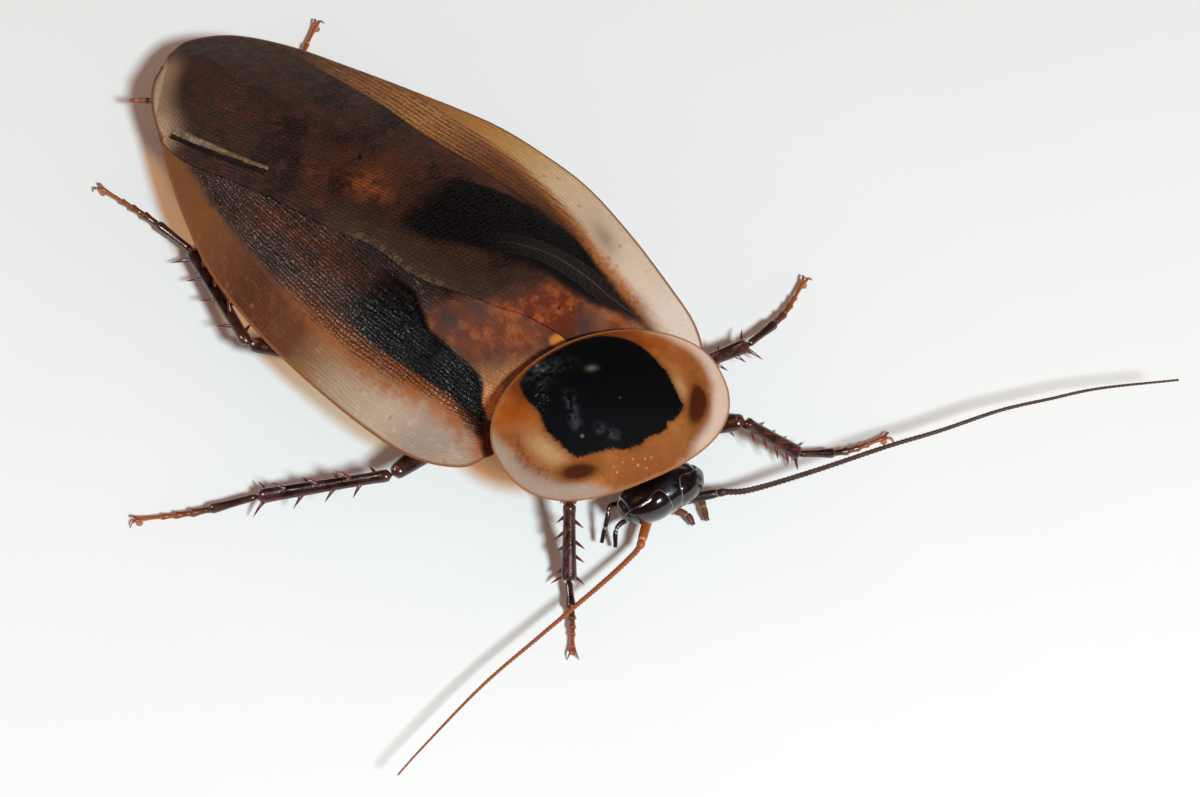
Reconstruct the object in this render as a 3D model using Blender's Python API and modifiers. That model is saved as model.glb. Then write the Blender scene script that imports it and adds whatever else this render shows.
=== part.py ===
"""Death's head cockroach standing still, life size: head toward -Y, its own left toward +X."""

import math
import random

import bmesh
import bpy
import numpy as np
from mathutils import Matrix, Vector

MM = 0.001
UP = Vector((0, 0, 1))

# The layout below is in millimetres. The shift puts the middle of the whole box on the origin.
SHIFT = Vector((-1.0, -10.0, 0.0))
GAP = 0.3

# Pronotum: a shield turned toward the animal's right, its front edge lowest.
PRONOTUM_AT = Vector((-1.2, -2.2, 8.3))
PRONOTUM_YAW = math.radians(-16.0)
PRONOTUM_HALF_WIDTH = 10.35
PRONOTUM_HALF_LENGTH = 6.9
PRONOTUM_PITCH = 0.12
PRONOTUM_ROLL = -0.09
PRONOTUM_RISE = 1.9
PRONOTUM_THICK = 0.6
FRONT_ROUNDNESS = 2.59
REAR_ROUNDNESS = 1.91

# Tegmina: edges as seen from above, from the shoulder to the tip.
LEFT_OUTER = (
    (6.9, -2.2), (8.7, -3.2), (10.5, -0.6), (11.6, 3.5), (12.8, 9.5), (13.5, 15.7), (13.1, 21.0),
    (12.1, 26.3), (9.5, 33.4), (7.0, 39.6), (4.7, 44.8), (1.9, 49.0), (-1.2, 51.3), (-3.4, 51.4),
)
LEFT_INNER = (
    (-0.4, 2.7), (-1.3, 5.2), (-3.2, 11.1), (-5.0, 17.1), (-5.6, 22.1), (-6.8, 25.8), (-7.8, 30.3),
    (-9.1, 36.6), (-10.0, 41.0), (-9.8, 44.6), (-8.0, 48.0), (-5.2, 50.6),
)
RIGHT_OUTER = (
    (-8.4, 2.2), (-10.8, 2.3), (-13.0, 3.1), (-15.2, 6.5), (-16.2, 11.7), (-16.6, 18.5),
    (-16.5, 24.4), (-15.6, 31.4), (-13.7, 37.1), (-11.0, 42.9), (-8.7, 47.0),
)
RIGHT_INNER = (
    (-1.7, 3.3), (-2.3, 5.3), (-2.7, 7.4), (-1.6, 12.0), (-0.3, 18.0), (-0.2, 26.0), (-1.4, 35.0),
    (-3.4, 43.0), (-5.8, 47.6),
)
WING_THICK = 0.5
WING_ROWS = 29
WING_COLUMNS = 16
VEIN_RISE = 0.15
RIM_Y = (-3.0, 10.0, 25.0, 52.0)
RIM_Z = (6.6, 6.2, 5.8, 5.4)
DOME_RISE = 5.0
DOME_REACH = 13.0
DOME_AT_BASE = 0.34
DOME_FULL_FROM = (4.0, 12.0)
LAP_ROOM = 0.12
UNDER_DROP = WING_THICK + GAP + VEIN_RISE + LAP_ROOM
UNDER_BESIDE = (0.3, 4.5)
UNDER_FROM = (4.6, 7.4)

# Prothorax sections: forward and sideways from the pronotum's middle, underside, top, half width.
PROTHORAX = (
    (5.1, 0.9, 4.1, 5.5, 0.8),
    (3.8, 0.6, 4.3, 5.9, 1.1),
    (2.0, 0.2, 5.0, 7.2, 3.9),
    (0.0, 0.0, 5.0, 7.3, 4.7),
    (-3.9, 0.0, 5.0, 6.5, 4.8),
)
# Thorax sections: distance back, middle x, underside, top, half width, yaw in degrees.
THORAX = (
    (2.2, -0.1, 5.0, 6.3, 5.2, -16.0),
    (4.6, -0.9, 5.0, 6.6, 6.8, -9.0),
    (8.0, -1.2, 5.0, 6.9, 7.5, 0.0),
    (11.0, -1.3, 5.0, 7.6, 8.2, 0.0),
    (14.0, -1.3, 5.0, 8.0, 8.5, 0.0),
)
THORAX_ROUNDNESS = 2.6
ABDOMEN_ROUNDNESS = 2.1
ABDOMEN_FROM = 14.3
ABDOMEN_TO = 47.2
ABDOMEN_SEGMENTS = 8
ABDOMEN_STEP = 0.2
# Along one plate: the share of its length, and the share of the step that it has widened by.
PLATE_SHAPE = ((0.0, 0.0), (0.55, 0.5), (0.97, 1.0))
ABDOMEN_Y = (14.3, 20.0, 28.0, 36.0, 43.0, 47.2)
ABDOMEN_X = (-1.3, -1.4, -1.6, -2.2, -2.7, -3.0)
ABDOMEN_HALF = (8.9, 9.4, 9.2, 7.4, 4.7, 2.4)
ABDOMEN_UNDER = (5.0, 4.7, 4.4, 4.2, 3.9, 3.9)
ABDOMEN_TOP = (8.2, 8.4, 8.1, 7.0, 5.6, 4.9)

# Head, in its own axes: right, forward, up, before it is pitched and turned.
HEAD_AT = Vector((-1.7, -8.7, 3.6))
HEAD_YAW = math.radians(-13.5)
HEAD_PITCH = math.radians(38.0)
HEAD_SIZE = Vector((4.0, 2.05, 3.3))
MOUTH_NARROWING = 0.55
EYE_AT = Vector((2.15, 0.5, 1.45))
EYE_SIZE = Vector((1.6, 1.3, 1.55))
SOCKET_AT = Vector((1.35, 1.8, -0.75))
NECK_FROM = (0.2, 2.6)
NECK_HEIGHT = 5.4
NECK_RADIUS = (1.6, 1.4)
NECK_ROOM = 0.2

# Feelers, palps and tail feelers: their paths from the root outward.
SCAPE_END = {"left": (2.2, -11.95, 2.7), "right": (-5.4, -10.7, 2.4)}
SCAPE_RADIUS = (0.42, 0.4)
FEELER = {
    "left": ((2.5, -12.2, 2.8), (4.1, -13.9, 3.5), (8.6, -16.5, 4.4), (14.5, -19.3, 5.0),
             (18.8, -21.3, 5.0), (23.8, -23.4, 5.0), (27.6, -25.5, 5.0), (31.4, -27.7, 5.0),
             (36.8, -31.7, 5.0)),
    "right": ((-5.7, -10.9, 2.4), (-6.9, -11.2, 2.6), (-10.4, -11.5, 3.0), (-17.5, -11.7, 3.6),
              (-24.3, -11.8, 3.8), (-31.7, -12.6, 4.0), (-34.6, -13.0, 4.0)),
}
FEELER_RINGS = 26
FEELER_RADIUS = (0.34, 0.26)
FEELER_TIP = 0.14

PALPS = {
    "palp_maxillary_right": ((-3.6, -7.4, 2.3), (-5.3, -6.9, 3.3), (-6.2, -7.4, 2.8), (-7.6, -8.2, 1.5)),
    "palp_labial_right": ((-3.2, -8.6, 1.5), (-5.7, -8.2, 2.0), (-6.9, -9.1, 1.0)),
    "palp_maxillary_left": ((-0.3, -8.5, 1.1), (1.3, -10.5, 1.2), (0.5, -12.5, 0.7)),
    "palp_labial_left": ((-1.5, -9.2, 1.0), (-0.5, -10.9, 1.0), (-0.6, -12.0, 0.7)),
}
PALP_RADIUS = (0.32, 0.3)
CERCI = {
    "cercus_right": ((-4.4, 47.95, 4.4), (-6.6, 49.2, 3.8), (-8.4, 51.0, 3.6)),
    "cercus_left": ((-1.6, 47.8, 4.4), (-0.6, 49.2, 3.8), (-0.2, 50.8, 3.6)),
}
CERCUS_RADIUS = (0.6, 0.28)
CERCUS_RINGS = 9

# Legs: root under the trunk, trochanter, knee, ankle, tarsus bend and toe.
LEGS = {
    "fore_left": ((0.6, -2.7, 4.85), (2.6, -3.6, 2.6), (7.2, -9.9, 6.0), (9.9, -13.8, 2.2),
                  (13.4, -15.9, 1.0), (16.8, -17.1, 0.62)),
    "fore_right": ((-2.3, 1.2, 4.85), (-3.5, 0.2, 2.5), (-8.4, -5.2, 5.5), (-12.0, -8.9, 1.4),
                   (-14.0, -11.4, 0.8), (-15.7, -13.3, 0.62)),
    "middle_left": ((1.9, 5.8, 4.85), (3.3, 5.6, 2.6), (5.2, -1.2, 4.0), (14.2, -3.4, 2.3),
                    (18.8, -2.9, 1.1), (22.7, -1.6, 0.62)),
    "middle_right": ((-4.6, 6.6, 4.85), (-7.0, 7.4, 2.7), (-17.1, 6.9, 5.2), (-25.6, 14.6, 1.8),
                     (-30.0, 17.4, 0.9), (-33.8, 20.3, 0.62)),
    "hind_left": ((2.6, 12.6, 4.85), (4.4, 15.4, 2.5), (8.6, 28.0, 3.5), (1.6, 40.4, 1.8),
                  (6.2, 45.2, 0.9), (9.9, 47.4, 0.62)),
    "hind_right": ((-5.0, 12.6, 4.85), (-8.0, 15.2, 2.6), (-17.4, 24.9, 4.5), (-13.9, 36.6, 1.8),
                   (-14.2, 42.2, 0.9), (-15.1, 47.3, 0.62)),
}
COXA_HALF = ((2.1, 1.3), (1.7, 1.1), (0.95, 0.8))
FEMUR_HALF = ((0.8, 0.7), (1.15, 0.75), (1.1, 0.75), (0.75, 0.65))
TIBIA_HALF = ((0.55, 0.5), (0.6, 0.5), (0.68, 0.55), (0.72, 0.6))
TARSUS_RADIUS = 0.45
TARSUS_WAIST = 0.22
TARSUS_ROOT = 1.12

# Spines: rows round the limb, as an angle from its side and the places along its length.
TIBIA_ROWS = (
    (-15, (0.14, 0.36, 0.58, 0.8, 0.93)),
    (195, (0.22, 0.45, 0.68, 0.93)),
    (75, (0.3, 0.55, 0.78)),
    (270, (0.4, 0.66, 0.93)),
)
FEMUR_ROWS = (
    (-50, (0.42, 0.6, 0.78)),
    (90, (0.93,)),
)
TIBIA_SPINE = {"fore": 1.2, "middle": 1.45, "hind": 1.65}
FEMUR_SPINE = 1.1
SPINE_AWAY = 1.05
SPINE_RADIUS = 0.24
SPINE_TAPER = 0.12
SPINE_DEPTH = 0.55
SPINE_RAKE = 0.75
RAKE_SCATTER = 0.12
PLACE_SCATTER = 0.03
LENGTH_SCATTER = (0.85, 1.15)
SPINE_CLEAR = 0.3
SPUR_EXTRA = 0.25
SPUR_FROM = (0.85, 0.95)
SPINE_SEED = 41

# Foot: claws as their reach ahead and aside, and the pad that stands on the floor.
CLAW_AHEAD = 0.9375
CLAW_ASIDE = 0.6875
CLAW_ROOT = (-0.25, 0.12)
CLAW_RADIUS = 0.26
CLAW_CLEAR = 0.16
PAD_RADIUS = 0.36
PAD_TAPER = 0.8

BROWN = (0.06, 0.022, 0.012)
BLACK = (0.012, 0.01, 0.01)
WING_BROWN = (0.13, 0.06, 0.03)
AMBER = (0.42, 0.2, 0.07)


def clear_scene():
    for obj in list(bpy.data.objects):
        bpy.data.objects.remove(obj)


def helper_object(name, mesh):
    """A temporary object that no render shows."""
    obj = bpy.data.objects.new(name, mesh)
    obj.hide_render = True
    obj.display_type = "WIRE"
    bpy.context.scene.collection.objects.link(obj)
    return obj


def applied(obj):
    """The object's mesh with its modifiers applied. The object itself goes."""
    graph = bpy.context.evaluated_depsgraph_get()
    mesh = bpy.data.meshes.new_from_object(obj.evaluated_get(graph))
    bpy.data.objects.remove(obj)
    return mesh


def mesh_of(bm):
    """A closed shape as a mesh with its faces pointing out."""
    bmesh.ops.recalc_face_normals(bm, faces=bm.faces)
    if bm.calc_volume(signed=True) < 0:
        bmesh.ops.reverse_faces(bm, faces=bm.faces)
    mesh = bpy.data.meshes.new("shape")
    bm.to_mesh(mesh)
    bm.free()
    return mesh


def combined(mesh, others, operation):
    """A mesh with all the others joined to it or cut from it in one go."""
    pool = bpy.data.collections.new("pool")
    for number, other in enumerate(others):
        extra = bpy.data.objects.new(f"extra_{number}", other)
        extra.hide_render = True
        extra.display_type = "WIRE"
        pool.objects.link(extra)
    pool.hide_render = True
    bpy.context.scene.collection.children.link(pool)
    host = helper_object("host", mesh)
    join = host.modifiers.new("join", "BOOLEAN")
    join.operation = operation
    join.operand_type = "COLLECTION"
    join.collection = pool
    join.solver = "EXACT"
    result = applied(host)
    for extra in list(pool.objects):
        bpy.data.objects.remove(extra)
    bpy.data.collections.remove(pool)
    return largest_body(result)


def largest_body(mesh):
    """The mesh with only its largest closed surface kept."""
    bm = bmesh.new()
    bm.from_mesh(mesh)
    unseen = set(bm.verts)
    bodies = []
    while unseen:
        edge_of_body = [unseen.pop()]
        body = set(edge_of_body)
        while edge_of_body:
            vert = edge_of_body.pop()
            for edge in vert.link_edges:
                other = edge.other_vert(vert)
                if other in unseen:
                    unseen.remove(other)
                    body.add(other)
                    edge_of_body.append(other)
        bodies.append(body)
    bodies.sort(key=len)
    for body in bodies[:-1]:
        bmesh.ops.delete(bm, geom=list(body), context="VERTS")
    bm.to_mesh(mesh)
    bm.free()
    return mesh


def node(name, mesh, colour, roughness):
    """Names a finished mesh, puts it in its place in metres and gives it its material."""
    mesh.transform(Matrix.Scale(MM, 4) @ Matrix.Translation(SHIFT))
    mesh.name = name
    for face in mesh.polygons:
        face.use_smooth = True
    material = bpy.data.materials.new(name)
    material.use_nodes = True
    shader = material.node_tree.nodes["Principled BSDF"]
    shader.inputs["Base Color"].default_value = (*colour, 1.0)
    shader.inputs["Roughness"].default_value = roughness
    shader.inputs["Metallic"].default_value = 0.0
    mesh.materials.clear()
    mesh.materials.append(material)
    obj = bpy.data.objects.new(name, mesh)
    group = bpy.data.collections.new(name)
    bpy.context.scene.collection.children.link(group)
    group.objects.link(obj)


def smooth_path(points, count):
    """Evenly spaced points on a smooth curve through the given ones."""
    given = np.array(points, float)
    ends = np.vstack([2 * given[0] - given[1], given, 2 * given[-1] - given[-2]])
    fine = []
    for a, b, c, d in zip(ends, ends[1:], ends[2:], ends[3:]):
        for t in np.linspace(0, 1, 12, endpoint=False):
            bend = (2 * a - 5 * b + 4 * c - d) * t**2 + (3 * b - a - 3 * c + d) * t**3
            fine.append(b + 0.5 * ((c - a) * t + bend))
    fine = np.array([*fine, given[-1]])
    along = np.r_[0, np.cumsum(np.linalg.norm(np.diff(fine, axis=0), axis=1))]
    at = np.linspace(0, along[-1], count)
    return np.column_stack([np.interp(at, along, fine[:, k]) for k in range(given.shape[1])])


def eased(value, low, high):
    """0 below low, 1 above high and a smooth step between."""
    t = min(max((value - low) / (high - low), 0.0), 1.0)
    return t * t * (3 - 2 * t)


def loft(rings):
    """A closed mesh through rings of equal counts, flat at both ends."""
    bm = bmesh.new()
    loops = [[bm.verts.new(point) for point in ring] for ring in rings]
    for near, far in zip(loops, loops[1:]):
        for i in range(len(near)):
            bm.faces.new((near[i - 1], near[i], far[i], far[i - 1]))
    bm.faces.new(loops[0])
    bm.faces.new(loops[-1])
    return mesh_of(bm)


def tube(points, radii, sides_level=1, grow=0.0):
    """A round bar along the points; grow thickens and lengthens it for a cutter."""
    path = [Vector(point) for point in points]
    if grow:
        path[0] = path[0] + (path[0] - path[1]).normalized() * grow
        path[-1] = path[-1] + (path[-1] - path[-2]).normalized() * grow
    curve = bpy.data.curves.new("bar", "CURVE")
    curve.dimensions = "3D"
    curve.bevel_depth = 1.0
    curve.bevel_resolution = sides_level
    curve.use_fill_caps = True
    spline = curve.splines.new("POLY")
    spline.points.add(len(path) - 1)
    for point, at, radius in zip(spline.points, path, radii):
        point.co = (*at, 1.0)
        point.radius = radius + grow
    mesh = applied(helper_object("bar", curve))
    bm = bmesh.new()
    bm.from_mesh(mesh)
    bmesh.ops.remove_doubles(bm, verts=bm.verts, dist=0.0001)
    return mesh_of(bm)


def ball(at, size, turn, u_segments=20, v_segments=12, grow=0.0):
    """An ellipsoid in the axes of turn; grow enlarges it for a cutter."""
    bm = bmesh.new()
    bmesh.ops.create_uvsphere(bm, u_segments=u_segments, v_segments=v_segments, radius=1.0)
    for vert in bm.verts:
        local = Vector(vert.co[k] * (size[k] + grow) for k in range(3))
        vert.co = turn @ (Vector(at) + local)
    return mesh_of(bm)


def outline_radius(angle):
    """The pronotum's edge distance in a direction, 90 degrees being forward."""
    across, along = math.cos(angle), math.sin(angle)
    power = FRONT_ROUNDNESS if along > 0 else REAR_ROUNDNESS
    reach = abs(across / PRONOTUM_HALF_WIDTH) ** power + abs(along / PRONOTUM_HALF_LENGTH) ** power
    return reach ** (-1 / power)


def from_pronotum(side, forward):
    """A place in the pronotum's own directions, as layout x and y."""
    cos, sin = math.cos(PRONOTUM_YAW), math.sin(PRONOTUM_YAW)
    return (
        PRONOTUM_AT.x + side * cos + forward * sin,
        PRONOTUM_AT.y + side * sin - forward * cos,
    )


def pronotum():
    bm = bmesh.new()
    bmesh.ops.create_uvsphere(bm, u_segments=44, v_segments=14, radius=1.0)
    for vert in bm.verts:
        out = min(math.hypot(vert.co.x, vert.co.y), 1.0)
        angle = math.atan2(vert.co.y, vert.co.x)
        side = out * outline_radius(angle) * math.cos(angle)
        forward = out * outline_radius(angle) * math.sin(angle)
        tilt = PRONOTUM_ROLL * side - PRONOTUM_PITCH * forward
        height = PRONOTUM_AT.z + tilt + PRONOTUM_RISE * (1 - out**2) ** 1.25
        if vert.co.z < 0:
            height -= PRONOTUM_THICK * math.sqrt(max(1 - out**8, 0.0))
        vert.co = (*from_pronotum(side, forward), height)
    return mesh_of(bm)


def trunk(sections, sides, roundness):
    """A body lofted through flattened sections across the length."""
    rings = []
    for back, middle, under, top, half, yaw in sections:
        turn = Matrix.Rotation(math.radians(yaw), 3, "Z")
        ring = []
        for k in range(sides):
            angle = 2 * math.pi * k / sides
            cos, sin = math.cos(angle), math.sin(angle)
            across = math.copysign(abs(cos) ** (2 / roundness), cos) * half
            height = math.copysign(abs(sin) ** (2 / roundness), sin) * (top - under) / 2
            ring.append(turn @ Vector((across, 0, height)) + Vector((middle, back, (top + under) / 2)))
        rings.append(ring)
    return loft(rings)


def prothorax():
    sections = []
    for forward, side, under, top, half in PROTHORAX:
        x, y = from_pronotum(side, forward)
        sections.append((y, x, under, top, half, math.degrees(PRONOTUM_YAW)))
    return trunk(sections, 16, THORAX_ROUNDNESS)


def abdomen():
    """Plates that overlap to the rear: each one ends a step wider than the next begins."""
    sections = []
    length = (ABDOMEN_TO - ABDOMEN_FROM) / ABDOMEN_SEGMENTS
    for number in range(ABDOMEN_SEGMENTS):
        for part, step in PLATE_SHAPE:
            back = ABDOMEN_FROM + (number + part) * length
            middle, half, under, top = (
                float(np.interp(back, ABDOMEN_Y, values))
                for values in (ABDOMEN_X, ABDOMEN_HALF, ABDOMEN_UNDER, ABDOMEN_TOP)
            )
            swell = ABDOMEN_STEP * step
            sections.append((back, middle, under - swell, top + swell, half + swell, 0.0))
    return trunk(sections, 26, ABDOMEN_ROUNDNESS)


OUTLINE = np.vstack([smooth_path(LEFT_OUTER, 90), smooth_path(RIGHT_OUTER, 80)[::-1]])


def edge_distance(x, y):
    """How far a place lies inside the closed wings' outline."""
    start, end = OUTLINE[:-1], OUTLINE[1:]
    span = end - start
    at = np.array((x, y)) - start
    part = np.clip((at * span).sum(axis=1) / (span**2).sum(axis=1), 0, 1)
    return float(np.linalg.norm(at - span * part[:, None], axis=1).min())


def dome(x, y):
    """Height of the closed wings' common upper surface."""
    rim = float(np.interp(y, RIM_Y, RIM_Z))
    full = DOME_AT_BASE + (1 - DOME_AT_BASE) * eased(y, *DOME_FULL_FROM)
    near = min(edge_distance(x, y) / DOME_REACH, 1.0)
    return rim + DOME_RISE * full * math.sin(math.pi / 2 * near)


SUTURE = smooth_path(LEFT_INNER, 60)


def under_left(x, y):
    """How far the right tegmen lies below the common surface: full under the left one's edge."""
    edge_x = float(np.interp(y, SUTURE[:, 1], SUTURE[:, 0]))
    beside = 1 - eased(edge_x - x, *UNDER_BESIDE)
    return UNDER_DROP * beside * eased(y, *UNDER_FROM)


def tegmen(outer, inner, drop):
    """A wing case: a grid between its inner and outer edges, its veins raised, then thickened."""
    outer_path = smooth_path(outer, WING_ROWS + 1)
    inner_path = smooth_path(inner, WING_ROWS + 1)
    bm = bmesh.new()
    bmesh.ops.create_grid(bm, x_segments=WING_COLUMNS, y_segments=WING_ROWS, size=0.5)
    for vert in bm.verts:
        column = round((vert.co.x + 0.5) * WING_COLUMNS)
        row = round((vert.co.y + 0.5) * WING_ROWS)
        x, y = inner_path[row] + (outer_path[row] - inner_path[row]) * column / WING_COLUMNS
        ridge = VEIN_RISE * (column % 2) * eased(WING_ROWS - row, 0, 4)
        vert.co = (x, y, dome(x, y) - drop(x, y) + ridge)
    bmesh.ops.triangulate(bm, faces=bm.faces)
    bm.normal_update()
    if sum(face.normal.z for face in bm.faces) < 0:
        bmesh.ops.reverse_faces(bm, faces=bm.faces)
    mesh = bpy.data.meshes.new("wing")
    bm.to_mesh(mesh)
    bm.free()
    wing = helper_object("wing", mesh)
    shell = wing.modifiers.new("shell", "SOLIDIFY")
    shell.thickness = WING_THICK
    shell.offset = -1.0
    return applied(wing)


def head_turn():
    """From the head's own axes to the layout's: pitched, then turned, then put in place."""
    turn = Matrix.Rotation(HEAD_YAW, 4, "Z") @ Matrix.Rotation(HEAD_PITCH, 4, "X")
    return Matrix.Translation(HEAD_AT) @ turn


def in_head(right, forward, up):
    """A point in the head's axes. Forward is -Y, so the animal's left is +X."""
    return head_turn() @ Vector((right, -forward, up))


def head_solid():
    bm = bmesh.new()
    bmesh.ops.create_uvsphere(bm, u_segments=28, v_segments=18, radius=1.0)
    for vert in bm.verts:
        x, y, z = vert.co
        narrow = MOUTH_NARROWING + (1 - MOUTH_NARROWING) * eased(z, -1.0, 0.25)
        vert.co = head_turn() @ Vector((x * HEAD_SIZE.x * narrow, y * HEAD_SIZE.y, z * HEAD_SIZE.z))
    return mesh_of(bm)


def eye(side, grow=0.0):
    at = (side * EYE_AT.x, -EYE_AT.y, EYE_AT.z)
    return ball(at, EYE_SIZE, head_turn(), grow=grow)


def scape(name, grow=0.0):
    side = 1 if name == "left" else -1
    root = in_head(side * SOCKET_AT.x, SOCKET_AT.y, SOCKET_AT.z)
    return tube((root, SCAPE_END[name]), SCAPE_RADIUS, grow=grow)


def head():
    """The head with hollows for the eyes, feelers, palps and neck."""
    cutters = [eye(1, GAP), eye(-1, GAP), scape("left", GAP), scape("right", GAP)]
    cutters += [palp(points, GAP) for points in PALPS.values()]
    forward, side, under, top, _ = PROTHORAX[0]
    neck = ((*from_pronotum(*NECK_FROM), NECK_HEIGHT), (*from_pronotum(side, forward), (under + top) / 2))
    cutters.append(tube(neck, NECK_RADIUS, 2, grow=GAP + NECK_ROOM))
    return combined(head_solid(), cutters, "DIFFERENCE")


def palp(points, grow=0.0):
    radii = np.interp(range(len(points)), (0, len(points) - 1), PALP_RADIUS)
    return tube(points, radii, grow=grow)


def feeler(points):
    path = smooth_path(points, FEELER_RINGS)
    radii = list(np.linspace(*FEELER_RADIUS, FEELER_RINGS))
    radii[-1] = FEELER_TIP
    return tube([Vector(at) for at in path], radii)


def mitred(ring, at, direction, normal, offset):
    """A ring slid along the limb until it lies in the joint's own plane."""
    moved = []
    for point in ring:
        reach = (offset - (point - at).dot(normal)) / direction.dot(normal)
        moved.append(point + direction * reach)
    return moved


def limb(start, end, halves, start_plane, end_plane, sides=8):
    """A leg piece between two joints, cut at each in the joint's plane."""
    direction = (end - start).normalized()
    across = direction.cross(UP).normalized()
    above = across.cross(direction)
    rings = []
    for number, (half_across, half_above) in enumerate(halves):
        centre = start.lerp(end, number / (len(halves) - 1))
        ring = []
        for k in range(sides):
            angle = 2 * math.pi * (k + 0.5) / sides
            ring.append(
                centre + across * half_across * math.cos(angle) + above * half_above * math.sin(angle)
            )
        rings.append(ring)
    rings[0] = mitred(rings[0], start, direction, start_plane, GAP / 2)
    rings[-1] = mitred(rings[-1], end, direction, end_plane, -GAP / 2)
    return loft(rings)


def cone(base, tip, radius, sides=4):
    """A thin spine from its root to its point."""
    length = (tip - base).length
    bm = bmesh.new()
    bmesh.ops.create_cone(
        bm, cap_ends=True, segments=sides, radius1=radius, radius2=radius * SPINE_TAPER, depth=length
    )
    turn = (tip - base).to_track_quat("Z", "Y").to_matrix().to_4x4()
    place = Matrix.Translation((base + tip) / 2) @ turn
    bmesh.ops.transform(bm, matrix=place, verts=bm.verts)
    return mesh_of(bm)


def spines(start, end, beyond, halves, rows, length, draw):
    """Spines in rows along a limb, raked toward its far end; none reaches the next piece."""
    direction = (end - start).normalized()
    across = direction.cross(UP).normalized()
    above = across.cross(direction)
    found = []
    for angle, places in rows:
        out = across * math.cos(math.radians(angle)) + above * math.sin(math.radians(angle))
        for place in places:
            at = place + draw.uniform(-PLACE_SCATTER, PLACE_SCATTER)
            half = float(np.interp(at, np.linspace(0, 1, len(halves)), [pair[1] for pair in halves]))
            base = start.lerp(end, at) + out * half * SPINE_DEPTH
            rake = SPINE_RAKE + draw.uniform(-RAKE_SCATTER, RAKE_SCATTER)
            reach = length * draw.uniform(*LENGTH_SCATTER) * (1.0 + SPUR_EXTRA * eased(place, *SPUR_FROM))
            tip = base + (out + direction * rake).normalized() * reach
            tip.z = max(tip.z, SPINE_CLEAR)
            share = (tip - end).dot(beyond - end) / (beyond - end).length_squared
            nearest = end.lerp(beyond, min(max(share, 0), 1))
            if (tip - nearest).length > SPINE_AWAY:
                found.append(cone(base, tip, SPINE_RADIUS))
    return found


def tarsus(ankle, bend, toe, plane):
    """The foot: a jointed bar down to the toe, a flat-soled pad and two claws."""
    path = [Vector(at) for at in smooth_path((ankle, bend, toe), 9)]
    direction = (path[1] - path[0]).normalized()
    across = direction.cross(UP).normalized()
    above = across.cross(direction)
    rings = []
    for number, centre in enumerate(path):
        swell = 1.0 - TARSUS_WAIST * (number % 2)
        radius = TARSUS_RADIUS * swell * (TARSUS_ROOT if number == 0 else 1.0)
        ring = []
        for k in range(8):
            angle = 2 * math.pi * (k + 0.5) / 8
            ring.append(centre + across * radius * math.cos(angle) + above * radius * math.sin(angle))
        rings.append(ring)
    rings[0] = mitred(rings[0], path[0], direction, plane, GAP / 2)
    bar = loft(rings)
    run = (path[-1] - path[-3]).normalized()
    run.z = 0
    run.normalize()
    aside = run.cross(UP)
    extras = [pad(path[-1])]
    for side in (-1, 1):
        root = path[-1] + run * CLAW_ROOT[0] + aside * CLAW_ROOT[1] * side
        tip = path[-1] + run * CLAW_AHEAD + aside * CLAW_ASIDE * side
        tip.z = CLAW_CLEAR
        extras.append(cone(root, tip, CLAW_RADIUS, 5))
    return combined(bar, extras, "UNION")


def pad(toe):
    """A short post under the toe that stands flat on the floor."""
    height = toe.z
    bm = bmesh.new()
    bmesh.ops.create_cone(
        bm, cap_ends=True, segments=10, radius1=PAD_RADIUS, radius2=PAD_RADIUS * PAD_TAPER, depth=height
    )
    bmesh.ops.translate(bm, verts=bm.verts, vec=(toe.x, toe.y, height / 2))
    return mesh_of(bm)


def leg(name, points):
    root, trochanter, knee, ankle, bend, toe = (Vector(point) for point in points)
    joints = (root, trochanter, knee, ankle, bend)
    run = [(b - a).normalized() for a, b in zip(joints, joints[1:])]
    planes = [(a + b).normalized() for a, b in zip(run, run[1:])]
    draw = random.Random(f"{SPINE_SEED} {name}")
    femur_spines = spines(trochanter, knee, ankle, FEMUR_HALF, FEMUR_ROWS, FEMUR_SPINE, draw)
    length = TIBIA_SPINE[name.split("_")[0]]
    tibia_spines = spines(knee, ankle, bend, TIBIA_HALF, TIBIA_ROWS, length, draw)
    femur = limb(trochanter, knee, FEMUR_HALF, planes[0], planes[1])
    tibia = limb(knee, ankle, TIBIA_HALF, planes[1], planes[2])
    pieces = {
        "coxa": limb(root, trochanter, COXA_HALF, -UP, planes[0]),
        "femur": combined(femur, femur_spines, "UNION"),
        "tibia": combined(tibia, tibia_spines, "UNION"),
        "tarsus": tarsus(ankle, bend, toe, planes[2]),
    }
    for piece, mesh in pieces.items():
        node(f"{piece}_{name}", mesh, BROWN, 0.3)


def main():
    clear_scene()
    node("head", head(), BLACK, 0.2)
    node("pronotum", pronotum(), AMBER, 0.3)
    node("prothorax", prothorax(), BROWN, 0.5)
    node("thorax", trunk(THORAX, 24, THORAX_ROUNDNESS), BROWN, 0.5)
    node("abdomen", abdomen(), BROWN, 0.4)
    node("tegmen_left", tegmen(LEFT_OUTER, LEFT_INNER, lambda x, y: 0.0), WING_BROWN, 0.35)
    node("tegmen_right", tegmen(RIGHT_OUTER, RIGHT_INNER, under_left), WING_BROWN, 0.35)
    for name, side in (("left", 1), ("right", -1)):
        node(f"eye_{name}", eye(side), BLACK, 0.12)
        node(f"antenna_base_{name}", scape(name), BROWN, 0.35)
        node(f"antenna_{name}", feeler(FEELER[name]), BROWN, 0.5)
    for name, points in PALPS.items():
        node(name, palp(points), BROWN, 0.35)
    for name, points in CERCI.items():
        path = smooth_path(points, CERCUS_RINGS)
        node(name, tube([Vector(at) for at in path], np.linspace(*CERCUS_RADIUS, CERCUS_RINGS)), BROWN, 0.4)
    for name, points in LEGS.items():
        leg(name, points)


main()
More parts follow.
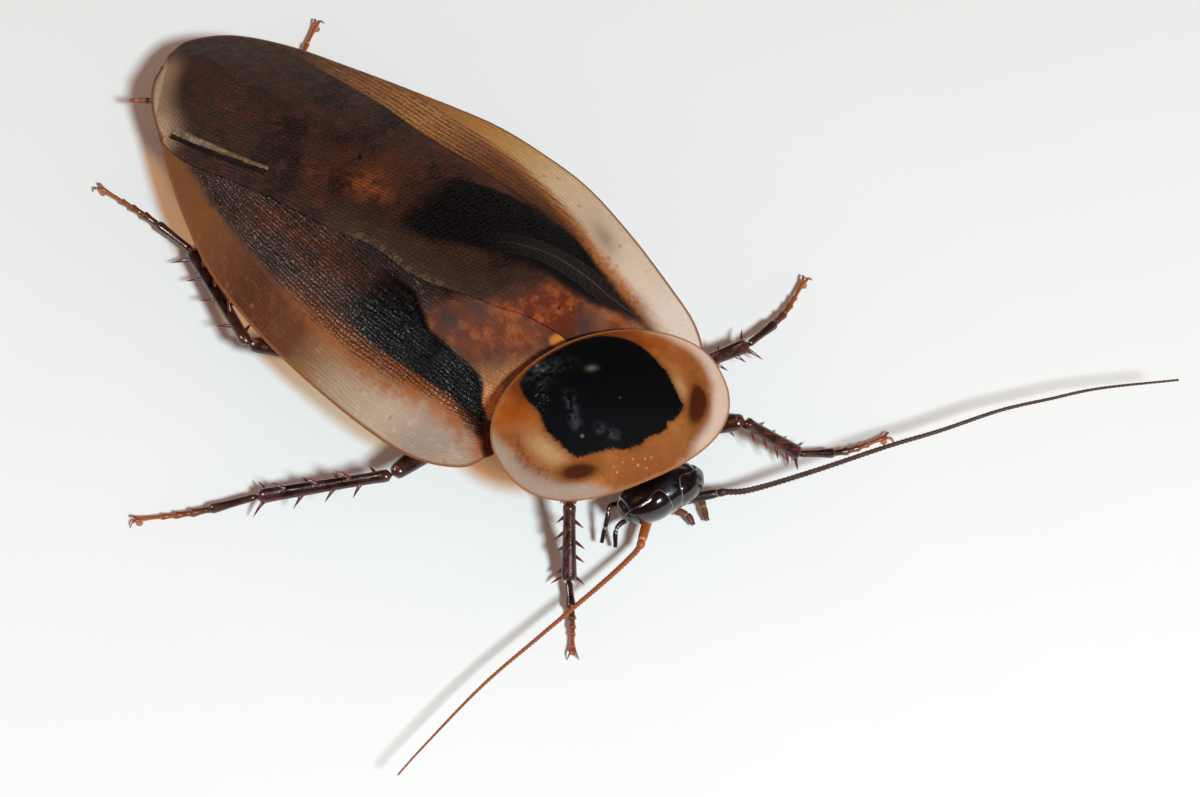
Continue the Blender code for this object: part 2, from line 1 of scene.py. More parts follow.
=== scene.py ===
"""Looks of the death's head cockroach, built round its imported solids.

Sizes are in millimetres in the layout, which SHIFT and MM bring to the frame: up is z, the head points to -y, and
the animal's left is +x.
"""

import math
import random

import bpy
import numpy as np
from mathutils import Matrix, Vector


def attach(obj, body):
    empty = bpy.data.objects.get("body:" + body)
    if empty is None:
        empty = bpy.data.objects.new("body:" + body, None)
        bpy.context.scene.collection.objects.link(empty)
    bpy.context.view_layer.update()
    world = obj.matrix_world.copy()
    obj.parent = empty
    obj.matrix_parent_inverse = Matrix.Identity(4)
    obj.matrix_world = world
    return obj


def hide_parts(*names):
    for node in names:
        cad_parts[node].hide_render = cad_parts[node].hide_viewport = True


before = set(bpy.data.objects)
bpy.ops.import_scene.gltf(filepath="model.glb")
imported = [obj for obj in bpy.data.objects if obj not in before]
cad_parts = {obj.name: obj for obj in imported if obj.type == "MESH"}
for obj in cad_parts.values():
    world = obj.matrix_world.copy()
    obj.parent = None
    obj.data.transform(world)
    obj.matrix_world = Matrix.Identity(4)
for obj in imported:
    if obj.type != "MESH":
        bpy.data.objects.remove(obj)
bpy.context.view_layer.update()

MM = 0.001
UP = np.array((0.0, 0.0, 1.0))
SHIFT = np.array((-1.0, -10.0, 0.0))

# The shield, as in the solids.
PRONOTUM_AT = (-1.2, -2.2, 8.3)
PRONOTUM_YAW = math.radians(-16.0)
PRONOTUM_HALF_WIDTH = 10.35
PRONOTUM_HALF_LENGTH = 6.9
PRONOTUM_PITCH = 0.12
PRONOTUM_ROLL = -0.09
PRONOTUM_RISE = 1.9
PRONOTUM_THICK = 0.6
PRONOTUM_ROUNDS = 130
PRONOTUM_SPOKES = 240
FRONT_ROUNDNESS = 2.59
REAR_ROUNDNESS = 1.91

# The black mark's edge on the shield: side and forward from its middle.
BLOTCH = (
    (-5.7, -5.0), (-4.9, -5.65), (-3.5, -6.15), (-1.9, -6.52), (-0.2, -6.68), (1.1, -6.65), (2.7, -6.3),
    (4.1, -5.4), (4.9, -4.4), (5.4, -3.1), (5.7, -1.6), (5.9, -0.5), (5.9, 0.8), (5.8, 1.6), (5.8, 2.6),
    (5.3, 2.9), (4.4, 3.5), (3.7, 3.6), (3.4, 4.0), (2.2, 4.1), (1.3, 4.1), (0.8, 4.4), (-0.8, 4.2),
    (-1.4, 3.9), (-3.4, 3.6), (-4.7, 3.2), (-5.0, 2.7), (-5.3, 1.7), (-5.7, 0.7), (-5.9, -0.1),
    (-5.6, -1.3), (-5.8, -2.4), (-5.9, -3.4),
)
# Freckled brown arcs on each side of the mark, and faint curved gleams painted on it as highlights.
FRECKLED_ARCS = (
    ((5.2, 4.4), (6.4, 3.6), (7.5, 2.6), (8.0, 1.4), (8.2, 0.4)),
    ((-3.4, 4.5), (-4.9, 4.2), (-7.1, 3.4), (-8.2, 2.1), (-8.4, 0.7), (-8.2, -0.6)),
)
PAINTED_GLEAM_PATHS = (
    ((-2.7, -1.8), (-3.0, -0.6), (-3.4, 0.9)),
    ((-1.8, 2.0), (-1.4, 2.4), (-0.9, 2.9)),
)
# Width of the pale border in directions round the shield, in degrees from its left side.
PALE_BORDER = ((-180, 1.7), (-172, 1.1), (-164, 0.2), (-150, 0.0), (-50, 0.0), (-35, 0.4), (-20, 1.0), (0, 1.6),
               (25, 2.0), (42, 1.6), (58, 0.5), (75, 0.2), (100, 0.3), (116, 0.6), (125, 1.3),
               (136, 2.1), (150, 2.4), (162, 2.3), (172, 2.0), (180, 1.7))

# Wing cases: edges as seen from above, as in the solids.
LEFT_OUTER = (
    (6.9, -2.2), (8.7, -3.2), (10.5, -0.6), (11.6, 3.5), (12.8, 9.5), (13.5, 15.7), (13.1, 21.0),
    (12.1, 26.3), (9.5, 33.4), (7.0, 39.6), (4.7, 44.8), (1.9, 49.0), (-1.2, 51.2), (-3.4, 51.28),
)
LEFT_INNER = (
    (1.6, 2.7), (1.1, 5.2), (0.4, 7.1), (-0.6, 8.8), (-1.9, 10.4), (-3.2, 12.9), (-5.0, 17.1),
    (-5.6, 22.1), (-6.8, 25.8), (-7.8, 30.3), (-9.1, 36.6),
    (-10.0, 41.0), (-9.8, 44.6), (-8.4, 47.7), (-6.7, 49.6), (-4.9, 50.6),
)
RIGHT_OUTER = (
    (-8.4, 2.2), (-10.8, 2.3), (-13.0, 3.1), (-15.2, 6.5), (-16.2, 11.7), (-16.6, 18.5),
    (-16.5, 24.4), (-15.6, 31.4), (-13.7, 37.1), (-11.0, 42.9), (-8.7, 47.0),
)
RIGHT_INNER = (
    (2.2, 2.7), (2.0, 5.0), (1.5, 7.6), (0.6, 12.0), (0.0, 18.0), (-0.2, 26.0), (-1.4, 35.0),
    (-3.4, 43.0), (-5.8, 47.6),
)
RIM_Y = (-3.0, 10.0, 25.0, 52.0)
RIM_Z = (6.6, 6.2, 5.8, 5.4)
DOME_RISE = 5.0
DOME_REACH = 13.0
DOME_AT_BASE = 0.34
DOME_FULL_FROM = (4.0, 12.0)
UNDER_DROP = 0.3
WING_THICK = 0.2
WING_COLUMNS = 110
WING_ROWS = 400
VEIN_RIBS = {"left": 18, "right": 24}
RIB_HEIGHT = {"left": 0.008, "right": 0.032}
RIDGE_HEIGHT = 0.11
FOLD_DEPTH = 0.12
CREASE_STEP = 0.1
FURROW_DEPTH = 0.16
STREAK_DEPTH = 0.35
# Marks that only one of the wing cases has; the other keeps them at 0.
ONE_SIDED_MARKS = ("fold", "wedges", "notch", "seam_side", "crust", "grey_patch", "apex_rim", "crease", "ridge_light")

# Zone lines on the wing cases: distance back, then the x that the line has there. The ridge, furrow and crease
# are paths of x and distance back.
LEFT_MARGIN = ((-3, 6.6), (2, 7.5), (5, 8.0), (9, 8.3), (12.3, 8.8), (16.4, 9.4), (21, 9.7), (25, 9.5),
               (30, 9.2), (34.5, 8.8), (38.5, 7.9), (52, 4.0))
LEFT_FOLD = ((-3, 6.6), (2.8, 7.3), (8.3, 7.8), (13.5, 7.8), (18, 7.3), (22.3, 6.7), (25, 6.2), (28.5, 5.7),
             (33, 5.5), (37, 5.0), (42, 4.1), (52, 2.0))
LEFT_STREAK_OUT = ((-3, 6.5), (1.9, 7.4), (7.7, 8.0), (12.2, 7.9), (16.3, 7.2), (19.7, 5.9), (22.1, 4.4),
                   (26, 2.0), (52, 0))
LEFT_STREAK_IN = ((-3, 7.4), (1.8, 7.2), (4.6, 6.1), (6.6, 4.7), (8.7, 3.7), (11.1, 2.5), (13.7, 1.4),
                  (16.2, -0.2), (18.8, -1.8), (21.2, -3.0), (52, -6.0))
LEFT_RIDGE = ((0.0, 17.6), (1.2, 15.9), (3.2, 13.7), (4.6, 11.6), (5.6, 9.6), (6.3, 7.8), (6.9, 4.8), (7.3, 2.2))
RIGHT_MARGIN = ((1.5, -10.9), (2.9, -10.5), (3.6, -10.1), (4.6, -10.1), (6.0, -10.2), (8.5, -10.8), (11.6, -12.0),
                (15.7, -12.8), (19.7, -12.9), (23.3, -12.8), (27.2, -12.5), (31.6, -12.1), (36.5, -11.2),
                (48, -8.0))
RIGHT_STREAK_OUT = ((1.5, -10.9), (2.9, -10.5), (3.6, -9.9), (4.6, -9.2), (5.5, -9.1), (7.7, -9.8), (10.4, -10.6),
                    (13.5, -11.1), (17, -11.3), (20.7, -11.4), (24.5, -11.4), (48, -8.0))
RIGHT_STREAK_IN = ((1.5, -6.5), (3.4, -8.0), (4.7, -8.5), (6.0, -7.9), (6.9, -6.9), (7.7, -6.5), (9.9, -7.1),
                   (12.6, -7.5), (14.7, -6.4), (16.1, -5.7), (18.9, -5.7), (21.1, -6.5), (48, -8.0))
RIGHT_FURROW = ((-5.0, 17.6), (-5.6, 16.1), (-6.4, 14.6), (-7.2, 12.9), (-7.3, 10.6), (-6.5, 8.6), (-6.8, 7.3),
                (-7.6, 6.2))
SUTURE_CREASE = ((-8.9, 44.7), (-8.35, 41.4), (-7.65, 37.5), (-6.6, 34.0))
FLECK_AT = (-0.4, 29.2)
SPOT_AT = (2.3, 7.4)
SCUTELLUM_AT = (0.7, 5.4)

# Head, in its own axes: right, forward, up, before it is pitched and turned.
HEAD_AT = np.array((-1.7, -8.7, 3.6))
HEAD_YAW = math.radians(-13.5)
HEAD_PITCH = math.radians(38.0)
HEAD_SIZE = np.array((4.0, 2.05, 3.3))
MOUTH_NARROWING = 0.55
# Outlines of the eyes on the head, as directions in its own axes measured in its half sizes.
EYE_OUTLINE = {
    "left": ((1.0, -0.22, 0.14), (0.79, -0.32, 0.52), (0.6, -0.4, 0.69), (0.46, -0.46, 0.76), (0.36, -0.42, 0.83),
             (0.3, -0.26, 0.92), (0.26, -0.07, 0.96), (0.25, 0.15, 0.95), (0.22, 0.43, 0.87), (0.19, 0.6, 0.78),
             (0.25, 0.85, 0.46), (0.42, 0.9, 0.12), (0.66, 0.75, -0.05), (0.88, 0.47, -0.05), (0.98, 0.1, 0.05)),
    "right": ((-0.8, -0.05, 0.6), (-0.69, -0.12, 0.72), (-0.46, -0.23, 0.86), (-0.28, -0.39, 0.88),
              (-0.12, -0.4, 0.91), (-0.05, -0.13, 0.99), (-0.02, 0.18, 0.98), (0.0, 0.44, 0.9),
              (-0.03, 0.76, 0.65), (-0.11, 0.96, 0.3),
              (-0.32, 0.97, 0.05), (-0.58, 0.82, -0.1), (-0.8, 0.58, -0.05), (-0.92, 0.25, 0.2), (-0.9, 0.05, 0.42)),
}
EYE_MIDDLE = {"left": (0.62, 0.3, 0.72), "right": (-0.45, 0.35, 0.82)}
EYE_BULGE = 0.3
SOCKET_AT = (1.35, 1.8, -0.75)
TIP_TRIM = 0.42
# Number of beads in a feeler's long part, and its first and last radius.
FEELER_BEADS = {"left": (104, 0.30, 0.11), "right": (84, 0.27, 0.09)}
BEAD_OVERLAP = 1.04
# Rings of points from one joint of a palp or cercus to the next.
JOINT_STEPS = 10
SCAPE_END = {"left": (2.2, -11.95, 2.7), "right": (-5.4, -10.7, 2.4)}
FEELER = {
    "left": ((2.5, -12.2, 2.8), (4.1, -13.9, 3.5), (8.6, -16.5, 4.4), (14.5, -19.3, 5.0),
             (18.8, -21.3, 5.0), (23.8, -23.4, 5.0), (27.6, -25.5, 5.0), (31.4, -27.7, 5.0),
             (36.8, -31.7, 5.0)),
    "right": ((-5.7, -10.9, 2.4), (-6.9, -11.2, 2.6), (-10.4, -11.5, 3.0), (-17.5, -11.7, 3.6),
              (-24.3, -11.8, 3.8), (-31.7, -12.6, 4.0), (-34.6, -13.0, 4.0)),
}
PALPS = {
    "palp_maxillary_right": ((-3.6, -7.4, 2.3), (-5.3, -6.9, 3.3), (-6.2, -7.4, 2.8), (-7.6, -8.2, 1.5)),
    "palp_labial_right": ((-3.2, -8.6, 1.5), (-5.7, -8.2, 2.0), (-6.9, -9.1, 1.0)),
    "palp_maxillary_left": ((-0.3, -8.5, 1.1), (1.3, -10.5, 1.2), (0.5, -12.5, 0.7)),
    "palp_labial_left": ((-1.5, -9.2, 1.0), (-0.5, -10.9, 1.0), (-0.6, -12.0, 0.7)),
}
CERCI = {
    "cercus_right": ((-4.4, 47.95, 4.4), (-6.6, 49.2, 3.8), (-8.4, 51.0, 3.6)),
    "cercus_left": ((-1.6, 47.8, 4.4), (-0.6, 49.2, 3.8), (-0.2, 50.8, 3.6)),
}

# Legs: root under the trunk, trochanter, knee, ankle, tarsus bend and toe.
LEGS = {
    "fore_left": ((0.6, -2.7, 4.85), (2.6, -3.6, 2.6), (7.2, -9.9, 6.0), (9.9, -13.8, 2.2),
                  (13.4, -15.9, 1.0), (16.8, -17.1, 0.62)),
    "fore_right": ((-2.3, 1.2, 4.85), (-3.5, 0.2, 2.5), (-8.4, -5.2, 5.5), (-12.0, -8.9, 1.4),
                   (-14.0, -11.4, 0.8), (-15.7, -13.3, 0.62)),
    "middle_left": ((1.9, 5.8, 4.85), (3.3, 5.6, 2.6), (5.2, -1.2, 4.0), (14.2, -3.4, 2.3),
                    (18.8, -2.9, 1.1), (22.7, -1.6, 0.62)),
    "middle_right": ((-4.6, 6.6, 4.85), (-7.0, 7.4, 2.7), (-17.1, 6.9, 5.2), (-25.6, 14.6, 1.8),
                     (-30.0, 17.4, 0.9), (-33.8, 20.3, 0.62)),
    "hind_left": ((2.6, 12.6, 4.85), (4.4, 15.4, 2.5), (8.6, 28.0, 3.5), (1.6, 40.4, 1.8),
                  (6.2, 45.2, 0.9), (9.9, 47.4, 0.62)),
    "hind_right": ((-5.0, 12.6, 4.85), (-8.0, 15.2, 2.6), (-17.4, 24.9, 4.5), (-13.9, 36.6, 1.8),
                   (-14.2, 42.2, 0.9), (-15.1, 47.3, 0.62)),
}
COXA_HALF = ((0.0, 1.9, 1.2), (0.35, 2.0, 1.25), (0.75, 1.4, 1.0), (1.0, 0.9, 0.75))
FEMUR_HALF = ((0.0, 0.62, 0.6), (0.12, 0.85, 0.68), (0.4, 1.12, 0.74), (0.7, 1.0, 0.7), (0.93, 0.72, 0.62),
              (1.0, 0.6, 0.55))
TIBIA_HALF = ((0.0, 0.5, 0.46), (0.05, 0.56, 0.52), (0.15, 0.5, 0.45), (0.5, 0.56, 0.46), (0.85, 0.64, 0.52),
              (1.0, 0.7, 0.58))
TIBIA_ROWS = (
    (-15, (0.14, 0.36, 0.58, 0.8, 0.93)),
    (195, (0.22, 0.45, 0.68, 0.93)),
    (75, (0.3, 0.55, 0.78)),
    (270, (0.4, 0.66, 0.93)),
)
FEMUR_ROWS = (
    (-50, (0.42, 0.6, 0.78)),
    (90, (0.93,)),
)
TIBIA_SPINE = {"fore": 1.2, "middle": 1.45, "hind": 1.65}
FEMUR_SPINE = 1.1
SPINE_RAKE = 0.75
SPINE_AWAY = 1.05
SPINE_CLEAR = 0.3
SPINE_RADIUS = 0.19
SPINE_TAPER = np.array((1.25, 1.0, 0.82, 0.66, 0.5, 0.3, 0.08))
TARSUS_SHARES = (0.0, 0.42, 0.58, 0.70, 0.80, 1.0)

# Trunk sections: distance back, middle x, underside, top, half width, yaw in degrees.
PROTHORAX = (
    (5.1, 0.9, 4.1, 5.5, 0.8), (3.8, 0.6, 4.3, 5.9, 1.1), (2.0, 0.2, 5.0, 7.2, 3.9), (0.0, 0.0, 5.0, 7.3, 4.7),
    (-3.9, 0.0, 5.0, 6.5, 4.8),
)
THORAX = (
    (2.2, -0.1, 5.0, 6.3, 5.2, -16.0), (4.6, -0.9, 5.0, 6.6, 6.8, -9.0), (8.0, -1.2, 5.0, 6.9, 7.5, 0.0),
    (11.0, -1.3, 5.0, 7.6, 8.2, 0.0), (14.0, -1.3, 5.0, 8.0, 8.5, 0.0),
)
ABDOMEN_FROM = 14.3
ABDOMEN_TO = 47.2
ABDOMEN_SEGMENTS = 8
ABDOMEN_Y = (14.3, 20.0, 28.0, 36.0, 43.0, 47.2)
ABDOMEN_X = (-1.3, -1.4, -1.6, -2.2, -2.7, -3.0)
ABDOMEN_HALF = (8.9, 9.4, 9.2, 7.4, 4.7, 2.4)
ABDOMEN_UNDER = (5.0, 4.7, 4.4, 4.2, 3.9, 3.9)
ABDOMEN_TOP = (8.2, 8.4, 8.1, 7.0, 5.6, 4.9)
# A belly plate swells towards its rear edge: share of its length, then how much it stands out.
PLATE_SWELL = ((0.0, 0.0), (0.06, 0.03), (0.4, 0.1), (0.75, 0.16), (0.9, 0.2), (0.965, 0.19), (0.985, 0.08))

# Stage, in metres and degrees: the photograph's view gives 12 pixels to the millimetre at the target.
CAMERA_TARGET = Vector((-0.001, -0.010, 0.006))
CAMERA_FROM = (-43.5, 61.0)
CAMERA_DISTANCE = 0.330
CAMERA_LENS = 118.8
CAMERA_SENSOR = 36.0
CAMERA_CLIP = (0.01, 10.0)
FLOOR_HALF = 1.5
WORLD_STRENGTH = 1.12
# Lamps: azimuth and elevation, distance, width, power and colour.
KEY_LAMP = (-8.0, 51.0, 1.5, 0.24, 26.8, (0.82, 0.965, 1.0))
RIM_LAMP = (222.0, 42.0, 0.50, 0.12, 1.4, (1.0, 1.0, 1.0))

# Where a Mix node keeps its colours among its sockets.
MIX_SHARE, MIX_BELOW, MIX_ABOVE, MIX_RESULT = 0, 6, 7, 2


# Small tools for shapes.

def smooth_path(points, count):
    """Evenly spaced points on a smooth curve through the given ones."""
    given = np.array(points, float)
    ends = np.vstack([2 * given[0] - given[1], given, 2 * given[-1] - given[-2]])
    fine = []
    for a, b, c, d in zip(ends, ends[1:], ends[2:], ends[3:]):
        for t in np.linspace(0, 1, 12, endpoint=False):
            bend = (2 * a - 5 * b + 4 * c - d) * t**2 + (3 * b - a - 3 * c + d) * t**3
            fine.append(b + 0.5 * ((c - a) * t + bend))
    fine = np.array([*fine, given[-1]])
    along = np.r_[0, np.cumsum(np.linalg.norm(np.diff(fine, axis=0), axis=1))]
    at = np.linspace(0, along[-1], count)
    return np.column_stack([np.interp(at, along, fine[:, k]) for k in range(given.shape[1])])


def eased(value, low, high):
    """0 below low, 1 above high and a smooth step between."""
    t = np.clip((np.asarray(value, float) - low) / (high - low), 0.0, 1.0)
    return t * t * (3 - 2 * t)


def bell(x, y, at, spread, turn=0.0):
    """1 at a place, falling off round it by its two spreads."""
    cos, sin = math.cos(math.radians(turn)), math.sin(math.radians(turn))
    dx, dy = x - at[0], y - at[1]
    across, along = dx * cos + dy * sin, dy * cos - dx * sin
    return np.exp(-((across / spread[0]) ** 2) - (along / spread[1]) ** 2)


def line_distance(path, x, y):
    """Distance of places from a path seen from above, and how far along it they lie."""
    path = np.asarray(path, float)
    start, span = path[:-1], np.diff(path, axis=0)
    places = np.stack([np.ravel(x), np.ravel(y)], axis=1)
    nearest, along = [], []
    for chunk in np.array_split(places, max(1, len(places) // 4000)):
        offset = chunk[:, None] - start
        part = np.clip((offset * span).sum(2) / (span**2).sum(1), 0, 1)
        far = np.linalg.norm(offset - span * part[..., None], axis=2)
        best = far.argmin(1)
        rows = np.arange(len(chunk))
        nearest.append(far[rows, best])
        along.append((best + part[rows, best]) / len(start))
    return np.concatenate(nearest).reshape(np.shape(x)), np.concatenate(along).reshape(np.shape(x))


def inside(outline, x, y):
    """Whether places lie inside a closed outline."""
    outline = np.asarray(outline, float)
    odd = np.zeros(np.shape(x), bool)
    for (ax, ay), (bx, by) in zip(outline, np.roll(outline, -1, axis=0)):
        crosses = (ay > y) != (by > y)
        odd ^= crosses & (x < (bx - ax) * (y - ay) / (by - ay + 1e-12) + ax)
    return odd


def patches(x, y, *ovals):
    """Soft ovals added up and kept within 0 and 1: each a strength, a place, its two spreads and its turn."""
    return np.clip(sum(strength * bell(x, y, at, spread, turn) for strength, at, spread, turn in ovals), 0, 1)


def round_angles(count):
    """Evenly spaced angles round a full circle."""
    return 2 * math.pi * np.arange(count) / count


def unit(vector):
    """A vector's direction, of length 1."""
    return np.asarray(vector, float) / np.linalg.norm(vector)


def linked(name, data):
    """A new object in the scene."""
    made = bpy.data.objects.new(name, data)
    bpy.context.scene.collection.objects.link(made)
    return made


def seen_from(azimuth, elevation):
    """The direction out to a place round the model, in degrees, azimuth 0 being in front."""
    a, e = math.radians(azimuth), math.radians(elevation)
    return Vector((math.sin(a) * math.cos(e), -math.cos(a) * math.cos(e), math.sin(e)))


def frame_along(direction):
    """Two directions square to a limb's own: across it and above it."""
    across = unit(np.cross(direction, UP)) if abs(direction[2]) < 0.99 else np.array((1.0, 0.0, 0.0))
    return across, np.cross(across, direction)


class Shape:
    """Collects closed parts with values at their points, then becomes one mesh object."""

    def __init__(self):
        self.points = []
        self.faces = []
        self.values = {}
        self.count = 0

    def add(self, points, faces, **values):
        """A closed part: its points, arrays of its faces, and values at its points, 0 where none is given."""
        points = np.asarray(points, float).reshape(-1, 3)
        self.points.append(points)
        self.faces += [part + self.count for part in outward(points, faces)]
        for name in set(self.values) | set(values):
            rows = self.values.setdefault(name, [np.zeros(self.count)] if self.count else [])
            rows.append(np.broadcast_to(np.asarray(values.get(name, 0.0), float).ravel(), len(points)))
        self.count += len(points)

    def add_loft(self, rings, **values):
        """A closed skin through rings of equal counts, its ends drawn to points."""
        rings = np.asarray(rings, float)
        count, sides = rings.shape[:2]
        points = np.vstack([rings.reshape(-1, 3), rings[0].mean(0), rings[-1].mean(0)])
        k = np.arange(sides)
        after = (k + 1) % sides
        row = sides * np.arange(count - 1)[:, None]
        quads = np.stack([row + k, row + after, row + after + sides, row + k + sides], axis=-1).reshape(-1, 4)
        last = (count - 1) * sides
        start = np.stack([np.full(sides, last + sides), after, k], axis=1)
        end = np.stack([np.full(sides, last + sides + 1), last + k, last + after], axis=1)
        spread = {}
        for name, value in values.items():
            value = np.asarray(value, float)
            if value.ndim == 1:
                value = np.repeat(value[:, None], sides, axis=1)
            if value.ndim == 2:
                value = np.r_[value.ravel(), value[0].mean(), value[-1].mean()]
            spread[name] = value
        self.add(points, [quads, start, end], **spread)

    def finished(self, name, material, slot, nodes=()):
        """The parts as one piece, its values kept as attributes that the materials read."""
        points = (np.vstack(self.points) + SHIFT) * MM
        mesh = bpy.data.meshes.new(name)
        mesh.from_pydata(points.tolist(), [], [face for part in self.faces for face in part.tolist()])
        mesh.update()
        for key, rows in self.values.items():
            layer = mesh.attributes.new(key, "FLOAT", "POINT")
            layer.data.foreach_set("value", np.concatenate(rows).astype(np.float32))
        return piece(name, mesh, material, nodes)


def outward(points, faces):
    """The faces of a closed part, turned round if they point in."""
    total = 0.0
    for part in faces:
        first = points[part[:, 0]]
        for k in range(1, part.shape[1] - 1):
            total += (first * np.cross(points[part[:, k]], points[part[:, k + 1]])).sum()
    return [part[:, ::-1] for part in faces] if total < 0 else faces


def piece(name, mesh, material, nodes=()):
    """A finished mesh as a piece that rides on the model and stands for its solids."""
    for face in mesh.polygons:
        face.use_smooth = True
    mesh.materials.clear()
    mesh.materials.append(material)
    made = linked(name, mesh)
    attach(made, "root")
    if nodes:
        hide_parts(*nodes)
    return made


def tube_rings(path, radii, sides, flatten=1.0):
    """Rings round a path, turning with it and not twisting."""
    path = np.asarray(path, float)
    tangents = np.gradient(path, axis=0)
    across = frame_along(unit(tangents[0]))[0]
    angles = round_angles(sides)
    rings = []
    for at, tangent, radius in zip(path, tangents, radii):
        tangent = unit(tangent)
        across = unit(across - tangent * np.dot(across, tangent))
        above = np.cross(across, tangent)
        rings.append(at + radius * (np.outer(np.cos(angles), across) + flatten * np.outer(np.sin(angles), above)))
    return np.array(rings)


# Small tools for materials.

class Tree:
    """Short calls that add and join shader nodes."""

    def __init__(self, tree):
        self.tree = tree

    def feed(self, socket, value):
        """Links another node's output to a socket, or sets the socket's own value."""
        if isinstance(value, bpy.types.NodeSocket):
            self.tree.links.new(value, socket)
        elif isinstance(value, (tuple, list)) and len(value) == 3 and socket.type == "RGBA":
            socket.default_value = (*value, 1.0)
        elif value is not None:
            socket.default_value = value

    def node(self, kind, inputs=None, **settings):
        """A new node with its settings made and its inputs fed."""
        made = self.tree.nodes.new(kind)
        for key, value in settings.items():
            setattr(made, key, value)
        for key, value in (inputs or {}).items():
            self.feed(made.inputs[key], value)
        return made

    def math(self, operation, a, b=None, clamp=False):
        return self.node("ShaderNodeMath", {0: a, 1: b}, operation=operation, use_clamp=clamp).outputs[0]

    def times(self, a, b):
        return self.math("MULTIPLY", a, b)

    def plus(self, a, b):
        return self.math("ADD", a, b)

    def step(self, value, low, high, to_low=0.0, to_high=1.0):
        """A smooth step from to_low to to_high as the value goes from low to high."""
        inputs = {"Value": value, "From Min": low, "From Max": high, "To Min": to_low, "To Max": to_high}
        return self.node("ShaderNodeMapRange", inputs, interpolation_type="SMOOTHSTEP").outputs[0]

    def mix(self, share, a, b):
        """Colour a, with b laid over it by a share."""
        made = self.node("ShaderNodeMix", data_type="RGBA")
        for at, value in ((MIX_SHARE, share), (MIX_BELOW, a), (MIX_ABOVE, b)):
            self.feed(made.inputs[at], value)
        return made.outputs[MIX_RESULT]

    def coats(self, colour, *coats):
        """A colour with others laid over it in turn, each where its own share says."""
        for share, over in coats:
            colour = self.mix(share, colour, over)
        return colour

    def most(self, a, b):
        """The larger of two values."""
        return self.math("MAXIMUM", a, b)

    def dress(self, shader, colour, roughness, height, distance, strength):
        """Feeds a surface's colour, roughness and relief to its shader."""
        self.feed(shader["Base Color"], colour)
        self.feed(shader["Roughness"], roughness)
        self.feed(shader["Normal"], self.bump(height, distance, strength))

    def ramp(self, value, stops):
        """A colour that changes along a value through stops of place and colour."""
        made = self.node("ShaderNodeValToRGB", {0: value})
        points = made.color_ramp.elements
        while len(points) < len(stops):
            points.new(0.5)
        for point, (at, colour) in zip(points, stops):
            point.position = at
            point.color = (*colour, 1.0)
        return made.outputs[0]

    def noise(self, vector, scale, detail=3.0, roughness=0.55):
        """Smooth noise, with a scale in swells to the metre where it reads places."""
        inputs = {"Vector": vector, "Scale": scale, "Detail": detail, "Roughness": roughness}
        return self.node("ShaderNodeTexNoise", inputs).outputs[0]

    def value(self, name):
        """What a piece's mesh keeps under a name at its points."""
        return self.node("ShaderNodeAttribute", attribute_name=name).outputs["Fac"]

    def place(self):
        """Places on the model, in metres."""
        return self.node("ShaderNodeTexCoord").outputs["Object"]

    def offset(self, place, at, direction):
        """How far places lie from a point along a direction, in millimetres."""
        start = [(a + b) * MM for a, b in zip((*at, 0.0), SHIFT)]
        away = self.node("ShaderNodeVectorMath", {0: place, 1: start}, operation="SUBTRACT").outputs[0]
        run = self.node("ShaderNodeVectorMath", {0: away, 1: (*direction, 0.0)}, operation="DOT_PRODUCT")
        return self.times(run.outputs["Value"], 1 / MM)

    def spot(self, place, at, half_sizes, turn, soft=0.3):
        """1 in a small oval seen from above, 0 outside it."""
        cos, sin = math.cos(math.radians(turn)), math.sin(math.radians(turn))
        long = self.times(self.offset(place, at, (cos, sin)), 1 / half_sizes[0])
        wide = self.times(self.offset(place, at, (-sin, cos)), 1 / half_sizes[1])
        reach = self.plus(self.times(long, long), self.times(wide, wide))
        return self.step(reach, 1 + soft, 1 - soft)

    def bump(self, height, distance, strength):
        """A normal raised by a height, over a distance in metres."""
        return self.node("ShaderNodeBump", {"Height": height, "Distance": distance, "Strength": strength}).outputs[0]

    def group(self, group, **inputs):
        """The outputs of a shared effect with its inputs set by name."""
        made = self.node("ShaderNodeGroup")
        made.node_tree = group
        for key, value in inputs.items():
            self.feed(made.inputs[key.replace("_", " ")], value)
        return made.outputs


def new_group(name, inputs, outputs):
    """An empty shader group with named sockets, its tree and its input sockets."""
    group = bpy.data.node_groups.new(name, "ShaderNodeTree")
    kinds = {"value": "NodeSocketFloat", "vector": "NodeSocketVector"}
    for key, (kind, default) in inputs.items():
        socket = group.interface.new_socket(key, in_out="INPUT", socket_type=kinds[kind])
        if kind == "value":
            socket.default_value = default
    for key, kind in outputs.items():
        group.interface.new_socket(key, in_out="OUTPUT", socket_type=kinds[kind])
    tree = Tree(group)
    entry = tree.node("NodeGroupInput").outputs
    leave = tree.node("NodeGroupOutput").inputs
    return group, tree, entry, leave


def new_material(name, roughness, coat=0.0, specular=0.5, coat_roughness=0.12):
    """A material with its plain settings, its tree and its shader's inputs."""
    material = bpy.data.materials.new(name)
    material.use_nodes = True
    shader = material.node_tree.nodes["Principled BSDF"].inputs
    plain = {"Roughness": roughness, "Specular IOR Level": specular, "Coat Weight": coat,
             "Coat Roughness": coat_roughness}
    for key, value in plain.items():
        shader[key].default_value = value
    return material, Tree(material.node_tree), shader


